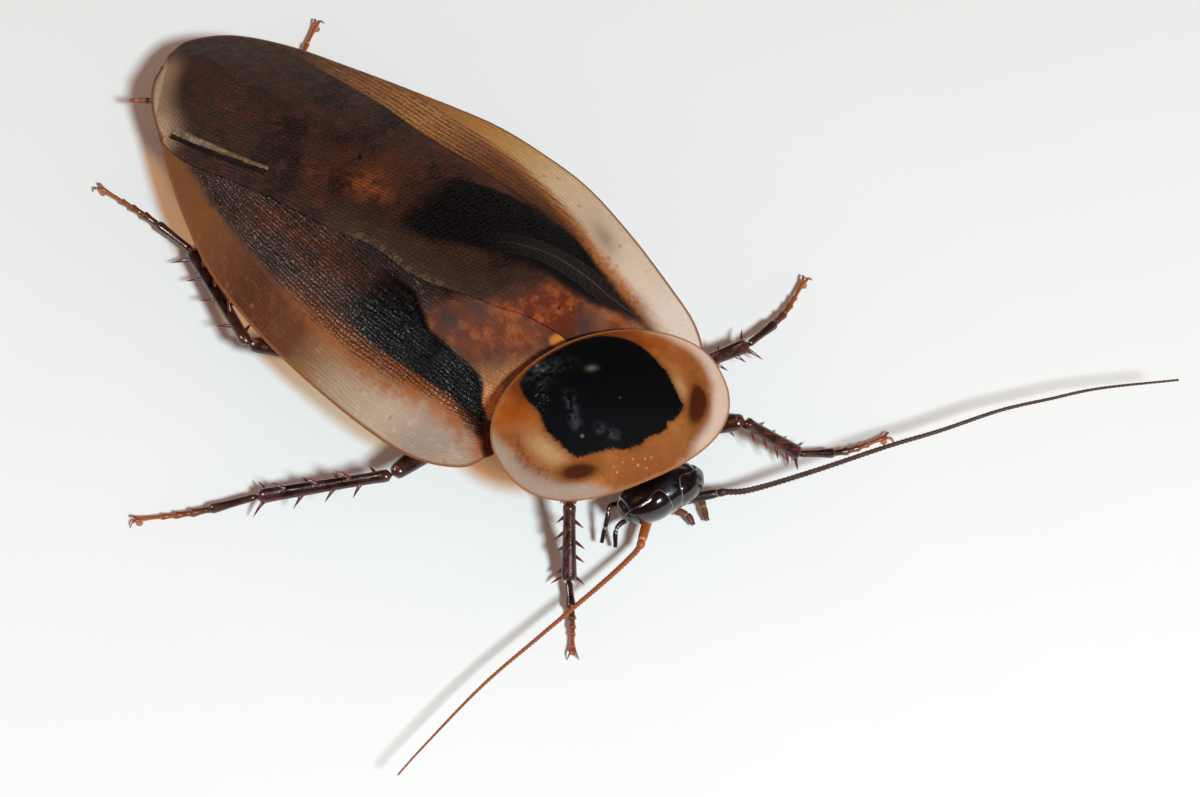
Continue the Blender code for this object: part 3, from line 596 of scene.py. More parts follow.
def fine_veins_group():
    """Fine veins along a wing case and the net of veinlets between them, from its own map."""
    group, t, entry, leave = new_group(
        "fine_veins",
        {"Map": ("vector", None), "Veins": ("value", 56.0), "Cells": ("value", 120.0), "Wander": ("value", 0.8)},
        {"Line": "value", "Net": "value", "Cell": "value"},
    )
    parts = t.node("ShaderNodeSeparateXYZ", {0: entry["Map"]}).outputs
    wander = t.times(t.plus(t.noise(entry["Map"], 9.0, 2.0), -0.5), entry["Wander"])
    crinkle = t.times(t.plus(t.noise(entry["Map"], 70.0, 2.0), -0.5), 0.016)
    across = t.times(t.plus(parts[0], t.plus(t.times(wander, 0.06), crinkle)), entry["Veins"])
    saw = t.math("FRACT", across)
    line = t.math("ABSOLUTE", t.plus(saw, -0.5))
    t.feed(leave["Line"], t.step(line, 0.22, 0.46))
    along = t.times(parts[1], entry["Cells"])
    cells = t.node("ShaderNodeCombineXYZ", {0: across, 1: along}).outputs[0]
    edge = t.node(
        "ShaderNodeTexVoronoi", {"Vector": cells, "Scale": 1.0, "Randomness": 0.75},
        voronoi_dimensions="2D", feature="DISTANCE_TO_EDGE",
    ).outputs["Distance"]
    t.feed(leave["Net"], t.step(edge, 0.18, 0.02))
    shade = t.node(
        "ShaderNodeTexVoronoi", {"Vector": cells, "Scale": 0.42, "Randomness": 0.9},
        voronoi_dimensions="2D", feature="F1",
    ).outputs["Color"]
    t.feed(leave["Cell"], t.node("ShaderNodeSeparateXYZ", {0: shade}).outputs[0])
    return group


def speckle_group():
    """Sparse small freckles, as a mask."""
    group, t, entry, leave = new_group(
        "freckles",
        {"Place": ("vector", None), "Scale": ("value", 2500.0), "Share": ("value", 0.3)},
        {"Mask": "value"},
    )
    spots = t.node(
        "ShaderNodeTexVoronoi", {"Vector": entry["Place"], "Scale": entry["Scale"]}, feature="F1"
    ).outputs
    chance = t.node("ShaderNodeSeparateXYZ", {0: spots["Color"]}).outputs[0]
    chosen = t.math("LESS_THAN", chance, entry["Share"])
    t.feed(leave["Mask"], t.times(chosen, t.step(spots["Distance"], 0.35, 0.15)))
    return group


def cuticle_group():
    """Faint dimples and ripples of insect cuticle, as a height and a mottling."""
    group, t, entry, leave = new_group(
        "cuticle",
        {"Place": ("vector", None), "Grain": ("value", 6000.0)},
        {"Height": "value", "Mottle": "value"},
    )
    grain = t.noise(entry["Place"], entry["Grain"], 2.0, 0.5)
    swell = t.noise(entry["Place"], t.times(entry["Grain"], 0.16), 3.0, 0.5)
    t.feed(leave["Height"], t.plus(t.times(grain, 0.4), swell))
    t.feed(leave["Mottle"], t.noise(entry["Place"], t.times(entry["Grain"], 0.09), 4.0, 0.6))
    return group


FINE_VEINS = fine_veins_group()
FRECKLES = speckle_group()
CUTICLE = cuticle_group()


LEFT_LOOK = {
    "roughness": 0.45, "specular": 0.1, "relief": 0.00008, "net": 0.9, "lines": 0.45, "line_relief": 0.25,
    "dark": (0.013, 0.0045, 0.003), "light": (0.042, 0.0155, 0.009), "far": (0.052, 0.021, 0.012),
    "black": (0.0010, 0.0006, 0.0008), "base": (0.10, 0.013, 0.003), "base_orange": (0.31, 0.060, 0.010),
    "pink": (0.30, 0.118, 0.055), "cells": (0.090, 0.020, 0.008), "ridge": (0.060, 0.040, 0.036), "marked": True,
    "margin": (
        (0.0, (0.67, 0.57, 0.50)), (0.10, (0.57, 0.46, 0.36)), (0.24, (0.51, 0.40, 0.29)),
        (0.33, (0.57, 0.435, 0.265)), (0.43, (0.49, 0.31, 0.12)), (0.53, (0.42, 0.20, 0.055)),
        (0.64, (0.29, 0.12, 0.036)), (0.74, (0.15, 0.056, 0.018)), (0.95, (0.07, 0.028, 0.013))),
    "strip": (
        (0.0, (0.12, 0.032, 0.010)), (0.25, (0.095, 0.025, 0.008)), (0.45, (0.19, 0.056, 0.013)),
        (0.60, (0.50, 0.21, 0.050)), (0.72, (0.36, 0.135, 0.032)), (0.86, (0.15, 0.056, 0.018))),
}
RIGHT_LOOK = {
    "roughness": 0.19, "specular": 0.25, "relief": 0.00019, "net": 0.9, "lines": 0.85, "line_relief": 0.5,
    "dark": (0.022, 0.009, 0.007), "light": (0.075, 0.031, 0.021), "far": (0.085, 0.034, 0.021),
    "black": (0.0015, 0.001, 0.001), "base": (0.11, 0.024, 0.008), "base_orange": (0.25, 0.058, 0.013),
    "pink": (0.56, 0.23, 0.085), "cells": (0.120, 0.030, 0.013), "ridge": (0.03, 0.02, 0.02), "marked": False,
    "margin": (
        (0.0, (0.38, 0.285, 0.22)), (0.12, (0.33, 0.25, 0.20)), (0.20, (0.45, 0.355, 0.27)),
        (0.30, (0.37, 0.28, 0.185)), (0.36, (0.25, 0.14, 0.065)), (0.42, (0.120, 0.034, 0.006)),
        (0.56, (0.080, 0.013, 0.001)), (0.72, (0.195, 0.064, 0.013)), (1.0, (0.21, 0.073, 0.016))),
    "strip": ((0.0, (0.20, 0.055, 0.015)), (0.3, (0.22, 0.06, 0.014)), (0.45, (0.12, 0.032, 0.009)),
              (0.9, (0.09, 0.033, 0.012))),
}


def wing_material(name, look):
    """A wing case: dark veined field, black streak, amber strip and pale see-through margin."""
    material, t, shader = new_material(name, look["roughness"], specular=look["specular"])
    place = t.place()
    wing_map = t.node("ShaderNodeUVMap", uv_map="wing").outputs[0]
    veins = t.group(FINE_VEINS, Map=wing_map)
    broad, small, tiny = t.noise(place, 260.0, 4.0), t.noise(place, 1300.0, 3.0), t.noise(place, 5200.0, 2.0)
    back, past = t.value("back"), t.value("margin")
    blur = t.times(t.plus(small, -0.5), 0.9)
    line = t.times(veins["Line"], t.step(small, 0.3, 0.6, 0.45, 1.0))

    # The base by the shield, patched with orange and dusky brown.
    base = t.coats(
        look["base"],
        (t.step(t.noise(place, 620.0, 4.0, 0.6), 0.49, 0.63), look["base_orange"]),
        (t.step(broad, 0.50, 0.66, 0.0, 0.75), (0.044, 0.018, 0.012)),
        (t.times(t.value("pink"), t.step(small, 0.25, 0.7, 0.95, 0.6)), look["pink"]),
    )
    based = t.step(t.plus(t.value("base_zone"), t.times(blur, 0.7)), 0.2, 0.8)

    # The amber strip inside the margin, with dark wedges between its folds and golden dashes.
    fold_line = t.math("ABSOLUTE", t.plus(t.math("FRACT", t.times(t.value("fold"), 1.9)), -0.5))
    wedge = t.times(t.step(fold_line, 0.18, 0.42), t.value("wedges"))
    dashes = t.times(t.step(t.noise(wing_map, 170.0, 1.0), 0.66, 0.74), t.times(line, 0.6))
    strip = t.coats(
        t.ramp(back, look["strip"]),
        (t.times(wedge, t.step(small, 0.3, 0.65, 0.35, 0.8)), (0.050, 0.018, 0.007)),
        (dashes, (0.55, 0.20, 0.045)),
    )

    # The field, from its ground to the lines, crests, crust and the ridge's painted highlight that lie on top.
    warm = t.times(t.value("orange"), t.step(t.plus(small, t.times(veins["Cell"], 0.3)), 0.52, 0.80))
    streak = t.step(t.plus(t.value("streak"), t.times(blur, 0.4)), 0.2, 0.85)
    lined = t.times(t.step(streak, 0.0, 1.0, look["lines"], 0.2), t.step(based, 0.0, 1.0, 1.0, 0.25))
    crest = t.times(t.step(veins["Net"], 0.2, 0.9), t.step(tiny, 0.36, 0.6, 0.0, 0.5))
    crust = t.times(t.value("crust"), t.step(t.plus(small, t.times(tiny, 0.5)), 0.72, 0.86, 0.0, 0.85))
    field = t.coats(
        look["dark"],
        (t.step(broad, 0.38, 0.62), look["light"]),
        (t.times(t.step(back, 0.68, 0.96), 0.8), look["far"]),
        (t.times(t.step(veins["Cell"], 0.66, 0.9), t.times(t.value("warm_cells"), 0.5)), look["cells"]),
        (t.times(t.value("rust"), t.step(broad, 0.3, 0.65, 0.4, 0.9)), (0.095, 0.024, 0.010)),
        (based, base),
        (warm, (0.24, 0.052, 0.011)),
        (t.times(t.value("seam_side"), 0.6), (0.060, 0.033, 0.023)),
        (t.times(t.value("smoke"), 0.85), (0.034, 0.026, 0.025)),
        (t.step(t.plus(t.value("strip"), t.times(blur, 0.5)), 0.2, 0.8), strip),
        (streak, look["black"]),
        # A painted highlight along the raised ridge on the black streak, with fine light threads beside it.
        (t.times(t.value("ridge_light"), streak), look["ridge"]),
        (t.times(lined, line), (0.006, 0.003, 0.002)),
        (t.times(crest, t.step(streak, 0.0, 1.0, 1.0, 0.25)), (0.095, 0.042, 0.024)),
        (crust, (0.12, 0.072, 0.038)),
    )

    # The pale margin, clouded, blushed, freckled and hatched.
    freckles = t.group(FRECKLES, Place=place, Scale=1100.0, Share=0.10)["Mask"]
    grain = t.group(FRECKLES, Place=place, Scale=4200.0, Share=0.5)["Mask"]
    pale = t.coats(
        t.ramp(back, look["margin"]),
        (t.times(t.step(broad, 0.42, 0.7), t.step(back, 0.2, 0.4, 0.25, 0.0)), (0.36, 0.26, 0.21)),
        (t.times(t.step(small, 0.5, 0.75), t.step(back, 0.3, 0.42, 0.25, 0.04)), (0.72, 0.60, 0.50)),
        (t.times(t.value("grey_patch"), 0.7), (0.16, 0.11, 0.085)),
        (t.times(t.value("blush"), t.step(small, 0.3, 0.65, 0.25, 1.0)), (0.34, 0.13, 0.055)),
        (t.times(freckles, 0.5), (0.30, 0.10, 0.04)),
        (t.times(grain, 0.22), (0.25, 0.13, 0.07)),
        (t.times(line, t.step(back, 0.15, 0.5, 0.08, 0.6)), (0.12, 0.05, 0.016)),
        (t.times(dashes, t.step(back, 0.3, 0.45)), (0.52, 0.24, 0.070)),
    )
    margin = t.step(t.plus(t.plus(past, blur), t.times(wedge, -0.9)), -0.45, 0.65)

    # Field and margin together, the glow where they meet, the rims, and what only this wing case has.
    glow = t.times(t.times(t.step(past, -0.8, 0.1), t.step(past, 1.3, 0.1)), t.value("amber_glow"))
    glow = t.times(glow, t.step(t.plus(small, t.times(tiny, 0.4)), 0.5, 0.85, 0.35, 1.0))
    colour = t.coats(
        field,
        (margin, pale),
        (glow, (0.30, 0.090, 0.018)),
        (t.value("apex_rim"), (0.56, 0.36, 0.22)),
        (t.step(t.value("edge"), 0.30, 0.10), (0.24, 0.085, 0.026)),
        *(crease_coats if look["marked"] else scutellum_coats)(t, place, back, small),
    )
    matt = t.most(margin, t.value("base_zone"))
    rough = t.step(small, 0.3, 0.7, look["roughness"] - 0.07, look["roughness"] + 0.12)
    rough = t.plus(rough, t.times(streak, t.step(back, 0.1, 0.35, 0.2, 0.04)))
    rough = t.plus(rough, t.times(matt, t.math("SUBTRACT", 0.85, rough)))
    net = t.times(veins["Net"], t.step(margin, 0.0, 1.0, look["net"], 0.12))
    height = t.plus(t.times(veins["Line"], look["line_relief"]), net)
    height = t.plus(height, t.plus(t.times(small, 0.35), t.times(tiny, 0.3)))
    t.dress(shader, colour, rough, height, look["relief"], t.step(matt, 0.0, 1.0, 1.0, 0.35))

    # The margin passes more of the lamps' light than of the view, so its shadow glows amber.
    share = t.times(margin, t.step(back, 0.1, 0.6, 0.25, 0.10))
    tint = t.mix(t.step(back, 0.2, 0.55), (1.0, 0.84, 0.68), (1.0, 0.67, 0.38))
    see_through(t, share, t.times(margin, t.step(back, 0.1, 0.9, 0.8, 0.68)), tint)
    return material


def crease_coats(t, place, back, small):
    """The left wing case's own marks: its folded crease, a pale band in part a painted reflection with the dark slit
    beside it painted as shade, a fleck and a spot.
    """
    light, dark = crease_masks(t, place)
    # The pale band: the crease's pale underside with a painted reflection on it.
    tan = t.mix(t.step(back, 0.92, 0.72), (0.37, 0.26, 0.17), (0.22, 0.13, 0.064))
    tan = t.mix(t.step(small, 0.35, 0.62, 0.0, 0.8), tan, (0.14, 0.078, 0.038))
    dark = t.most(dark, t.spot(place, FLECK_AT, (0.34, 0.15), 50))
    dark = t.most(dark, t.times(t.spot(place, SPOT_AT, (0.16, 0.13), 0), 0.8))
    # The dark slit is painted shade; the fleck and the spot in the same coat are real black marks.
    return (light, tan), (dark, (0.004, 0.002, 0.002))


def scutellum_coats(t, place, back, small):
    """The right wing case's own marks: the yellow scutellum by the seam and the dark notch at the shoulder."""
    yellow = t.spot(place, SCUTELLUM_AT, (0.95, 0.62), -40, 0.7)
    brown = t.mix(t.step(small, 0.4, 0.65), (0.050, 0.017, 0.014), (0.12, 0.028, 0.018))
    return (yellow, (0.54, 0.165, 0.02)), (t.value("notch"), brown)


def crease_masks(t, place):
    """The folded crease near the tip: a pale band that narrows forward, its pale underside with a painted reflection,
    and the dark slit beside it, a painted shadow under the curled edge.
    """
    rear, front = np.array(SUTURE_CREASE[0]), np.array(SUTURE_CREASE[-1])
    length = float(np.linalg.norm(front - rear))
    run = (front - rear) / length
    along = t.times(t.offset(place, SUTURE_CREASE[0], tuple(run)), 1 / length)
    bow = t.times(t.times(along, t.math("SUBTRACT", 1.0, along)), 0.9)
    across = t.plus(t.offset(place, SUTURE_CREASE[0], (-run[1], run[0])), bow)
    width = t.step(along, 0.0, 1.0, 0.52, 0.27)
    held = t.times(t.step(along, 0.0, 0.03), t.step(along, 1.0, 0.985))
    light = t.times(t.step(across, -0.06, 0.04), t.step(t.math("SUBTRACT", across, width), 0.10, -0.08))
    dark = t.times(t.step(across, -0.48, -0.36), t.step(across, 0.02, -0.05))
    return t.times(t.times(held, light), 0.9), t.times(t.times(dark, held), t.step(along, 0.0, 1.0, 0.95, 0.8))


def see_through(t, share, lit_share, tint):
    """Lets a share of the view and a larger share of the lamps' light through a thin skin, tinted."""
    surface = t.tree.nodes["Material Output"].inputs["Surface"]
    from_lamp = t.node("ShaderNodeLightPath").outputs["Is Shadow Ray"]
    share = t.plus(share, t.times(from_lamp, t.math("SUBTRACT", lit_share, share)))
    film = t.node("ShaderNodeBsdfTransparent", {"Color": tint}).outputs[0]
    solid = t.tree.nodes["Principled BSDF"].outputs[0]
    t.feed(surface, t.node("ShaderNodeMixShader", {0: share, 1: solid, 2: film}).outputs[0])


def pronotum_material():
    """The shield: black mark with a painted sheen and gleams, orange ring, freckled brown arcs and a pale see-through
    border.
    """
    material, t, shader = new_material("waxy_shield", 0.42, specular=0.07)
    place = t.place()
    broad, small, tiny = t.noise(place, 330.0, 4.0), t.noise(place, 1700.0, 3.0), t.noise(place, 6500.0, 2.0)
    ring = t.coats(
        (0.27, 0.078, 0.018),
        (t.step(broad, 0.35, 0.65), (0.38, 0.145, 0.036)),
        (t.times(t.value("front"), 0.75), (0.205, 0.062, 0.015)),
        (t.value("deep_orange"), (0.33, 0.066, 0.005)),
        (t.times(t.step(small, 0.42, 0.7), 0.3), (0.17, 0.045, 0.010)),
        (t.times(t.value("rear_band"), 0.95), (0.125, 0.014, 0.002)),
    )
    border = t.step(t.plus(t.value("pale"), t.times(t.plus(broad, -0.5), 0.9)), -0.5, 0.7)
    edge_tone = t.coats(
        (0.58, 0.455, 0.375),
        (t.value("right_side"), (0.35, 0.27, 0.215)),
        (t.times(t.step(small, 0.5, 0.75), 0.25), (0.52, 0.42, 0.35)),
    )

    # The black mark: its ragged edge, and on it a painted sheen, a pale spot that is a painted lamp reflection,
    # painted gleams, and specks and scratches painted as glints.
    ragged = t.plus(t.times(t.plus(t.noise(place, 800.0, 5.0, 0.7), -0.5), 0.8),
                    t.times(t.plus(t.noise(place, 3500.0, 2.0), -0.5), 0.35))
    mark = t.plus(t.value("mark"), t.times(ragged, t.value("ragged")))
    black = t.step(mark, -0.12, 0.20)
    glint_specks = t.group(FRECKLES, Place=place, Scale=1500.0, Share=0.05)["Mask"]
    drawn = t.node("ShaderNodeMapping", {
        "Vector": place, "Rotation": (0, 0, math.radians(-35)), "Scale": (2600.0, 9000.0, 2600.0)}).outputs[0]
    scratch_glints = t.times(t.value("scratched"), t.step(t.noise(drawn, 1.0, 2.0), 0.60, 0.72))
    # Black, with the painted sheen, reflection spot, gleams and glinting specks and scratches laid over it.
    dark = t.coats(
        (0.0010, 0.0009, 0.0013),
        (t.times(t.value("sheen"), t.step(small, 0.38, 0.62)), (0.036, 0.036, 0.040)),
        (t.value("pale_spot"), (0.12, 0.095, 0.055)),
        (t.times(t.value("gleam"), t.step(small, 0.40, 0.62)), (0.030, 0.031, 0.038)),
        (t.most(t.times(glint_specks, 0.4), scratch_glints), (0.20, 0.20, 0.23)),
    )

    # The ring and border with their cream, freckles, smudges and golden specks painted as glints, and the mark over
    # them.
    freckles = t.group(FRECKLES, Place=place, Scale=4200.0, Share=0.55)["Mask"]
    dusting = t.math("ADD", t.times(freckles, 0.7), t.times(t.step(small, 0.45, 0.75), 0.45), clamp=True)
    brown = t.times(t.value("brown"), t.step(t.plus(small, t.times(tiny, 0.4)), 0.35, 0.75, 0.85, 1.0))
    golden = t.group(FRECKLES, Place=place, Scale=2300.0, Share=0.30)["Mask"]
    colour = t.coats(
        ring,
        (border, edge_tone),
        (t.times(t.value("cream"), t.step(small, 0.25, 0.6, 0.6, 0.85)), (0.42, 0.26, 0.13)),
        (t.times(t.value("freckled"), t.math("ADD", dusting, 0.3, clamp=True)), (0.125, 0.030, 0.004)),
        (t.step(brown, 0.0, 0.5, 0.0, 0.85), (0.20, 0.065, 0.012)),
        (t.step(brown, 0.3, 1.0), (0.050, 0.008, 0.001)),
        # Golden specks painted as glints.
        (t.times(golden, t.times(t.value("golden"), 0.6)), (0.70, 0.38, 0.12)),
        (t.times(t.step(mark, -0.7, 0.0), 0.6), (0.17, 0.042, 0.007)),
        (black, dark),
        (t.times(t.step(t.value("rim"), 0.26, 0.08), 0.85), (0.30, 0.105, 0.026)),
    )
    skin = t.group(CUTICLE, Place=place, Grain=5000.0)
    wrinkle = t.noise(place, 620.0, 2.0, 0.4)
    height = t.plus(t.times(skin["Height"], 0.35), t.times(t.times(wrinkle, black), 1.2))
    rough = t.plus(t.step(black, 0.0, 1.0, 0.74, 0.70), t.times(t.plus(small, -0.5), 0.15))
    t.dress(shader, colour, rough, height, 0.00009, 0.35)
    thin = t.times(border, t.math("SUBTRACT", 1.0, brown))
    lit = t.most(t.times(thin, 0.74), t.times(t.step(mark, -0.2, -1.0), 0.45))
    see_through(t, t.times(thin, 0.2), lit, (1.0, 0.62, 0.28))
    return material


def body_material():
    """The trunk: mottled brown cuticle, warmer along the plates' rear edges."""
    material, t, shader = new_material("body_cuticle", 0.3, coat=0.3)
    skin = t.group(CUTICLE, Place=t.place(), Grain=7000.0)
    colour = t.coats(
        (0.045, 0.018, 0.010),
        (t.step(skin["Mottle"], 0.36, 0.66), (0.10, 0.042, 0.022)),
        (t.value("plate_edge"), (0.20, 0.09, 0.045)),
    )
    t.dress(shader, colour, t.step(skin["Mottle"], 0.3, 0.7, 0.24, 0.375), skin["Height"], 0.00004, 0.5)
    return material


def head_material():
    """The head: glossy black, rough on the crown with glints painted there, a painted greyish reflection on the
    cheeks, brown at the mouth.
    """
    material, t, shader = new_material("glossy_black_head", 0.13, coat=0.5, coat_roughness=0.2)
    place = t.place()
    skin = t.group(CUTICLE, Place=place, Grain=8000.0)
    grit = t.noise(place, 9000.0, 2.0)
    crown = t.value("crown")
    colour = t.coats(
        (0.0025, 0.0018, 0.0022),
        (t.step(skin["Mottle"], 0.3, 0.7), (0.009, 0.006, 0.007)),
        (t.times(t.value("mouth"), 0.75), (0.055, 0.022, 0.012)),
        # A painted greyish reflection on the lower cheeks, and glints painted on the crown's grit.
        (t.times(t.value("cheek"), 0.55), (0.075, 0.060, 0.052)),
        (t.times(t.times(crown, t.step(grit, 0.56, 0.66)), 0.6), (0.22, 0.24, 0.27)),
    )
    rough = t.plus(t.step(skin["Mottle"], 0.3, 0.7, 0.12, 0.22), t.times(crown, 0.3))
    t.dress(shader, colour, rough, t.plus(skin["Height"], t.times(crown, grit)), 0.00004, 0.5)
    return material


def eye_material():
    """Eyes: black with a warm tint, a thin pale border, and facets too small to count."""
    material, t, shader = new_material("facetted_eye", 0.10, coat=0.5, coat_roughness=0.2)
    place = t.place()
    facets = t.node("ShaderNodeTexVoronoi", {"Vector": place, "Scale": 11000.0}, feature="F1").outputs["Distance"]
    line = t.times(t.step(t.value("rim"), 0.935, 0.955), t.step(t.noise(place, 1500.0), 0.3, 0.6, 0.4, 0.9))
    colour = t.coats(
        (0.004, 0.002, 0.0025),
        (t.step(t.noise(place, 500.0), 0.3, 0.7), (0.013, 0.006, 0.007)),
        (t.times(facets, 0.2), (0.030, 0.016, 0.017)),
        (line, (0.26, 0.165, 0.125)),
    )
    t.dress(shader, colour, t.step(facets, 0.2, 0.8, 0.08, 0.14), facets, 0.00001, 0.25)
    return material


def leg_material():
    """Glossy dark red-brown, with red spines and orange foot tips."""
    material, t, shader = new_material("red_brown_leg", 0.2, coat=0.3)
    skin = t.group(CUTICLE, Place=t.place(), Grain=7000.0)
    colour = t.coats(
        (0.014, 0.0045, 0.0035),
        (t.step(skin["Mottle"], 0.36, 0.66), (0.052, 0.015, 0.010)),
        (t.times(t.value("joint"), 0.5), (0.11, 0.028, 0.012)),
        (t.value("spine"), (0.14, 0.015, 0.008)),
        (t.value("foot_tip"), (0.36, 0.080, 0.011)),
    )
    t.dress(shader, colour, t.step(skin["Mottle"], 0.3, 0.7, 0.16, 0.3), skin["Height"], 0.00006, 0.6)
    return material


def palp_material():
    """Palps: dark brown, reddish on the flat ones, with pale joints."""
    material, t, shader = new_material("glossy_palp", 0.25, coat=0.2)
    skin = t.group(CUTICLE, Place=t.place(), Grain=8000.0)
    mottle = t.step(skin["Mottle"], 0.35, 0.65)
    colour = t.coats(
        t.mix(mottle, (0.012, 0.006, 0.005), (0.030, 0.013, 0.010)),
        (t.value("leaf"), t.mix(mottle, (0.070, 0.026, 0.014), (0.15, 0.055, 0.030))),
        (t.times(t.value("gap"), 0.7), (0.34, 0.21, 0.14)),
    )
    t.dress(shader, colour, t.step(skin["Mottle"], 0.3, 0.7, 0.18, 0.32), skin["Height"], 0.00003, 0.5)
    return material


def feeler_material():
    """Dark brown rings, orange where a value says, paler between the rings."""
    material, t, shader = new_material("ringed_feeler", 0.4)
    skin = t.group(CUTICLE, Place=t.place(), Grain=9000.0)
    orange = t.value("orange")
    colour = t.coats(
        (0.014, 0.006, 0.004),
        (t.step(skin["Mottle"], 0.35, 0.65), (0.036, 0.015, 0.009)),
        (orange, (0.30, 0.066, 0.010)),
        (t.times(t.value("gap"), 0.8), t.mix(orange, (0.17, 0.075, 0.038), (0.56, 0.23, 0.05))),
    )
    t.dress(shader, colour, t.step(skin["Mottle"], 0.3, 0.7, 0.34, 0.5), skin["Height"], 0.00003, 0.5)
    return material


# Wing cases.

OUTLINE = np.vstack([smooth_path(LEFT_OUTER, 90), smooth_path(RIGHT_OUTER, 80)[::-1]])
SUTURE = smooth_path(LEFT_INNER, 60)
RIDGE = smooth_path(LEFT_RIDGE, 60)
FURROW = smooth_path(RIGHT_FURROW, 60)


def dome(x, y):
    """Height of the closed wings' common upper surface."""
    rim = np.interp(y, RIM_Y, RIM_Z)
    full = DOME_AT_BASE + (1 - DOME_AT_BASE) * eased(y, *DOME_FULL_FROM)
    near = np.minimum(line_distance(OUTLINE, x, y)[0] / DOME_REACH, 1.0)
    return rim + DOME_RISE * full * np.sin(math.pi / 2 * near)


def under_left(x, y):
    """How far the right tegmen lies below the common surface: full under the left one's edge."""
    beside = 1 - eased(np.interp(y, SUTURE[:, 1], SUTURE[:, 0]) - x, 0.3, 4.5)
    return UNDER_DROP * beside * eased(y, 0.5, 3.0)


def beyond(line, x, y):
    """How far x lies past a zone line, in millimetres."""
    line = np.array(line, float)
    return x - np.interp(y, line[:, 0], line[:, 1])


def wing_values(side, x, y):
    """Where the markings of a wing case lie, as values at its points."""
    if side == "left":
        outer, inner, sign = smooth_path(LEFT_OUTER, 200), SUTURE, 1
        margin, streak_out, streak_in = LEFT_MARGIN, LEFT_STREAK_OUT, LEFT_STREAK_IN
    else:
        outer, inner, sign = smooth_path(RIGHT_OUTER, 200), smooth_path(RIGHT_INNER, 120), -1
        margin, streak_out, streak_in = RIGHT_MARGIN, RIGHT_STREAK_OUT, RIGHT_STREAK_IN
    past_margin = sign * beyond(margin, x, y)
    past_out = sign * beyond(streak_out, x, y)
    past_in = sign * beyond(streak_in, x, y)
    seam = line_distance(inner, x, y)[0]
    edge = np.minimum(line_distance(outer, x, y)[0], seam + 5 * (1 - eased(y, 42.0, 45.0)))
    marks = left_marks if side == "left" else right_marks
    return {
        **dict.fromkeys(ONE_SIDED_MARKS, np.zeros(np.shape(x))),
        "margin": past_margin, "back": (y - 2.0) / 46.0, "edge": edge, "warm_cells": eased(y, 16.0, 24.0),
        **marks(x, y, past_margin, past_out, past_in, seam),
    }


def left_marks(x, y, past_margin, past_out, past_in, seam):
    """The left wing case's own markings."""
    streak = (1 - eased(past_out, -0.4, 0.5)) * eased(past_in, -1.4, 1.6) * (1 - eased(y, 19.0, 26.5))
    past_fold = beyond(LEFT_FOLD, x, y)
    far, along = line_distance(SUTURE_CREASE, x, y)
    inner_side = beyond([(at, cross) for cross, at in reversed(SUTURE_CREASE)], x, y) > 0
    held = eased(along, 0.0, 0.03) * (1 - eased(along, 0.97, 1.0))
    ridge_far, ridge_along = line_distance(RIDGE, x, y)
    # The ridge's painted highlight and the painted light threads beside it.
    shine_threads = sum(np.exp(-((ridge_far - off) / 0.06) ** 2) for off in (0.36, 0.64, 0.92))
    ridge = (0.9 * np.exp(-(ridge_far / 0.11) ** 2) + 0.55 * shine_threads) * eased(ridge_along, 0.1, 0.45)
    return {
        "streak": streak,
        "fold": past_fold + 20.0,
        "wedges": eased(y, 8.0, 16.0) * (1 - eased(y, 38.0, 46.0)) * (1 - eased(past_margin, 0.0, 1.2)),
        "strip": eased(past_fold, -0.3, 0.7) * (1 - eased(y, 39.0, 46.0)),
        "base_zone": (1 - eased(y + 0.35 * x, 8.0, 12.5)) * (1 - streak),
        "pink": patches(x, y, (0.75, (4.6, 4.6), (3.2, 1.1), 30), (1, (6.4, 2.2), (2.2, 1.2), 30)),
        "orange": patches(
            x, y, (1, (-1.8, 26.6), (1.3, 2.0), 15), (0.35, (-4.4, 30.4), (1.0, 1.2), 0),
            (0.9, (2.6, 8.6), (2.2, 1.0), 20), (0.7, (4.2, 6.8), (1.6, 0.8), 20),
            (0.25, (-6.0, 28.0), (0.8, 1.0), 0)),
        "rust": patches(x, y, (0.8, (0.2, 26.8), (3.0, 3.6), 20), (0.9, (6.6, 20.0), (1.1, 6.0), 6)),
        "seam_side": (1 - eased(seam, 0.6, 4.2)) * eased(y, 6.0, 14.0) * (1 - eased(y, 24.0, 30.0)),
        "crust": (1 - eased(seam, 0.2, 0.9)) * eased(y, 12.0, 16.0) * (1 - eased(y, 23.0, 26.0)),
        "amber_glow": eased(y, 1.0, 4.0) * (1 - eased(y, 20.0, 28.0)),
        "grey_patch": patches(x, y, (1, (10.4, 10.4), (0.9, 1.9), -20)),
        "blush": 0.6 * (1 - eased(past_margin, 0.2, 1.6)) * (1 - eased(y, 8.0, 20.0)),
        "smoke": patches(x, y, (0.9, (3.4, 5.2), (1.6, 0.9), 35)),
        "apex_rim": 0.85 * (1 - eased(seam, 0.0, 3.0)) * eased(y, 42.0, 45.5) * (1 - eased(x, -5.0, -1.5)),
        "crease": held * (1 - eased(far, 0.15, 0.6)) * np.where(inner_side, 1.0, -1.0),
        "ridge_light": np.clip(ridge, 0, 1),
    }


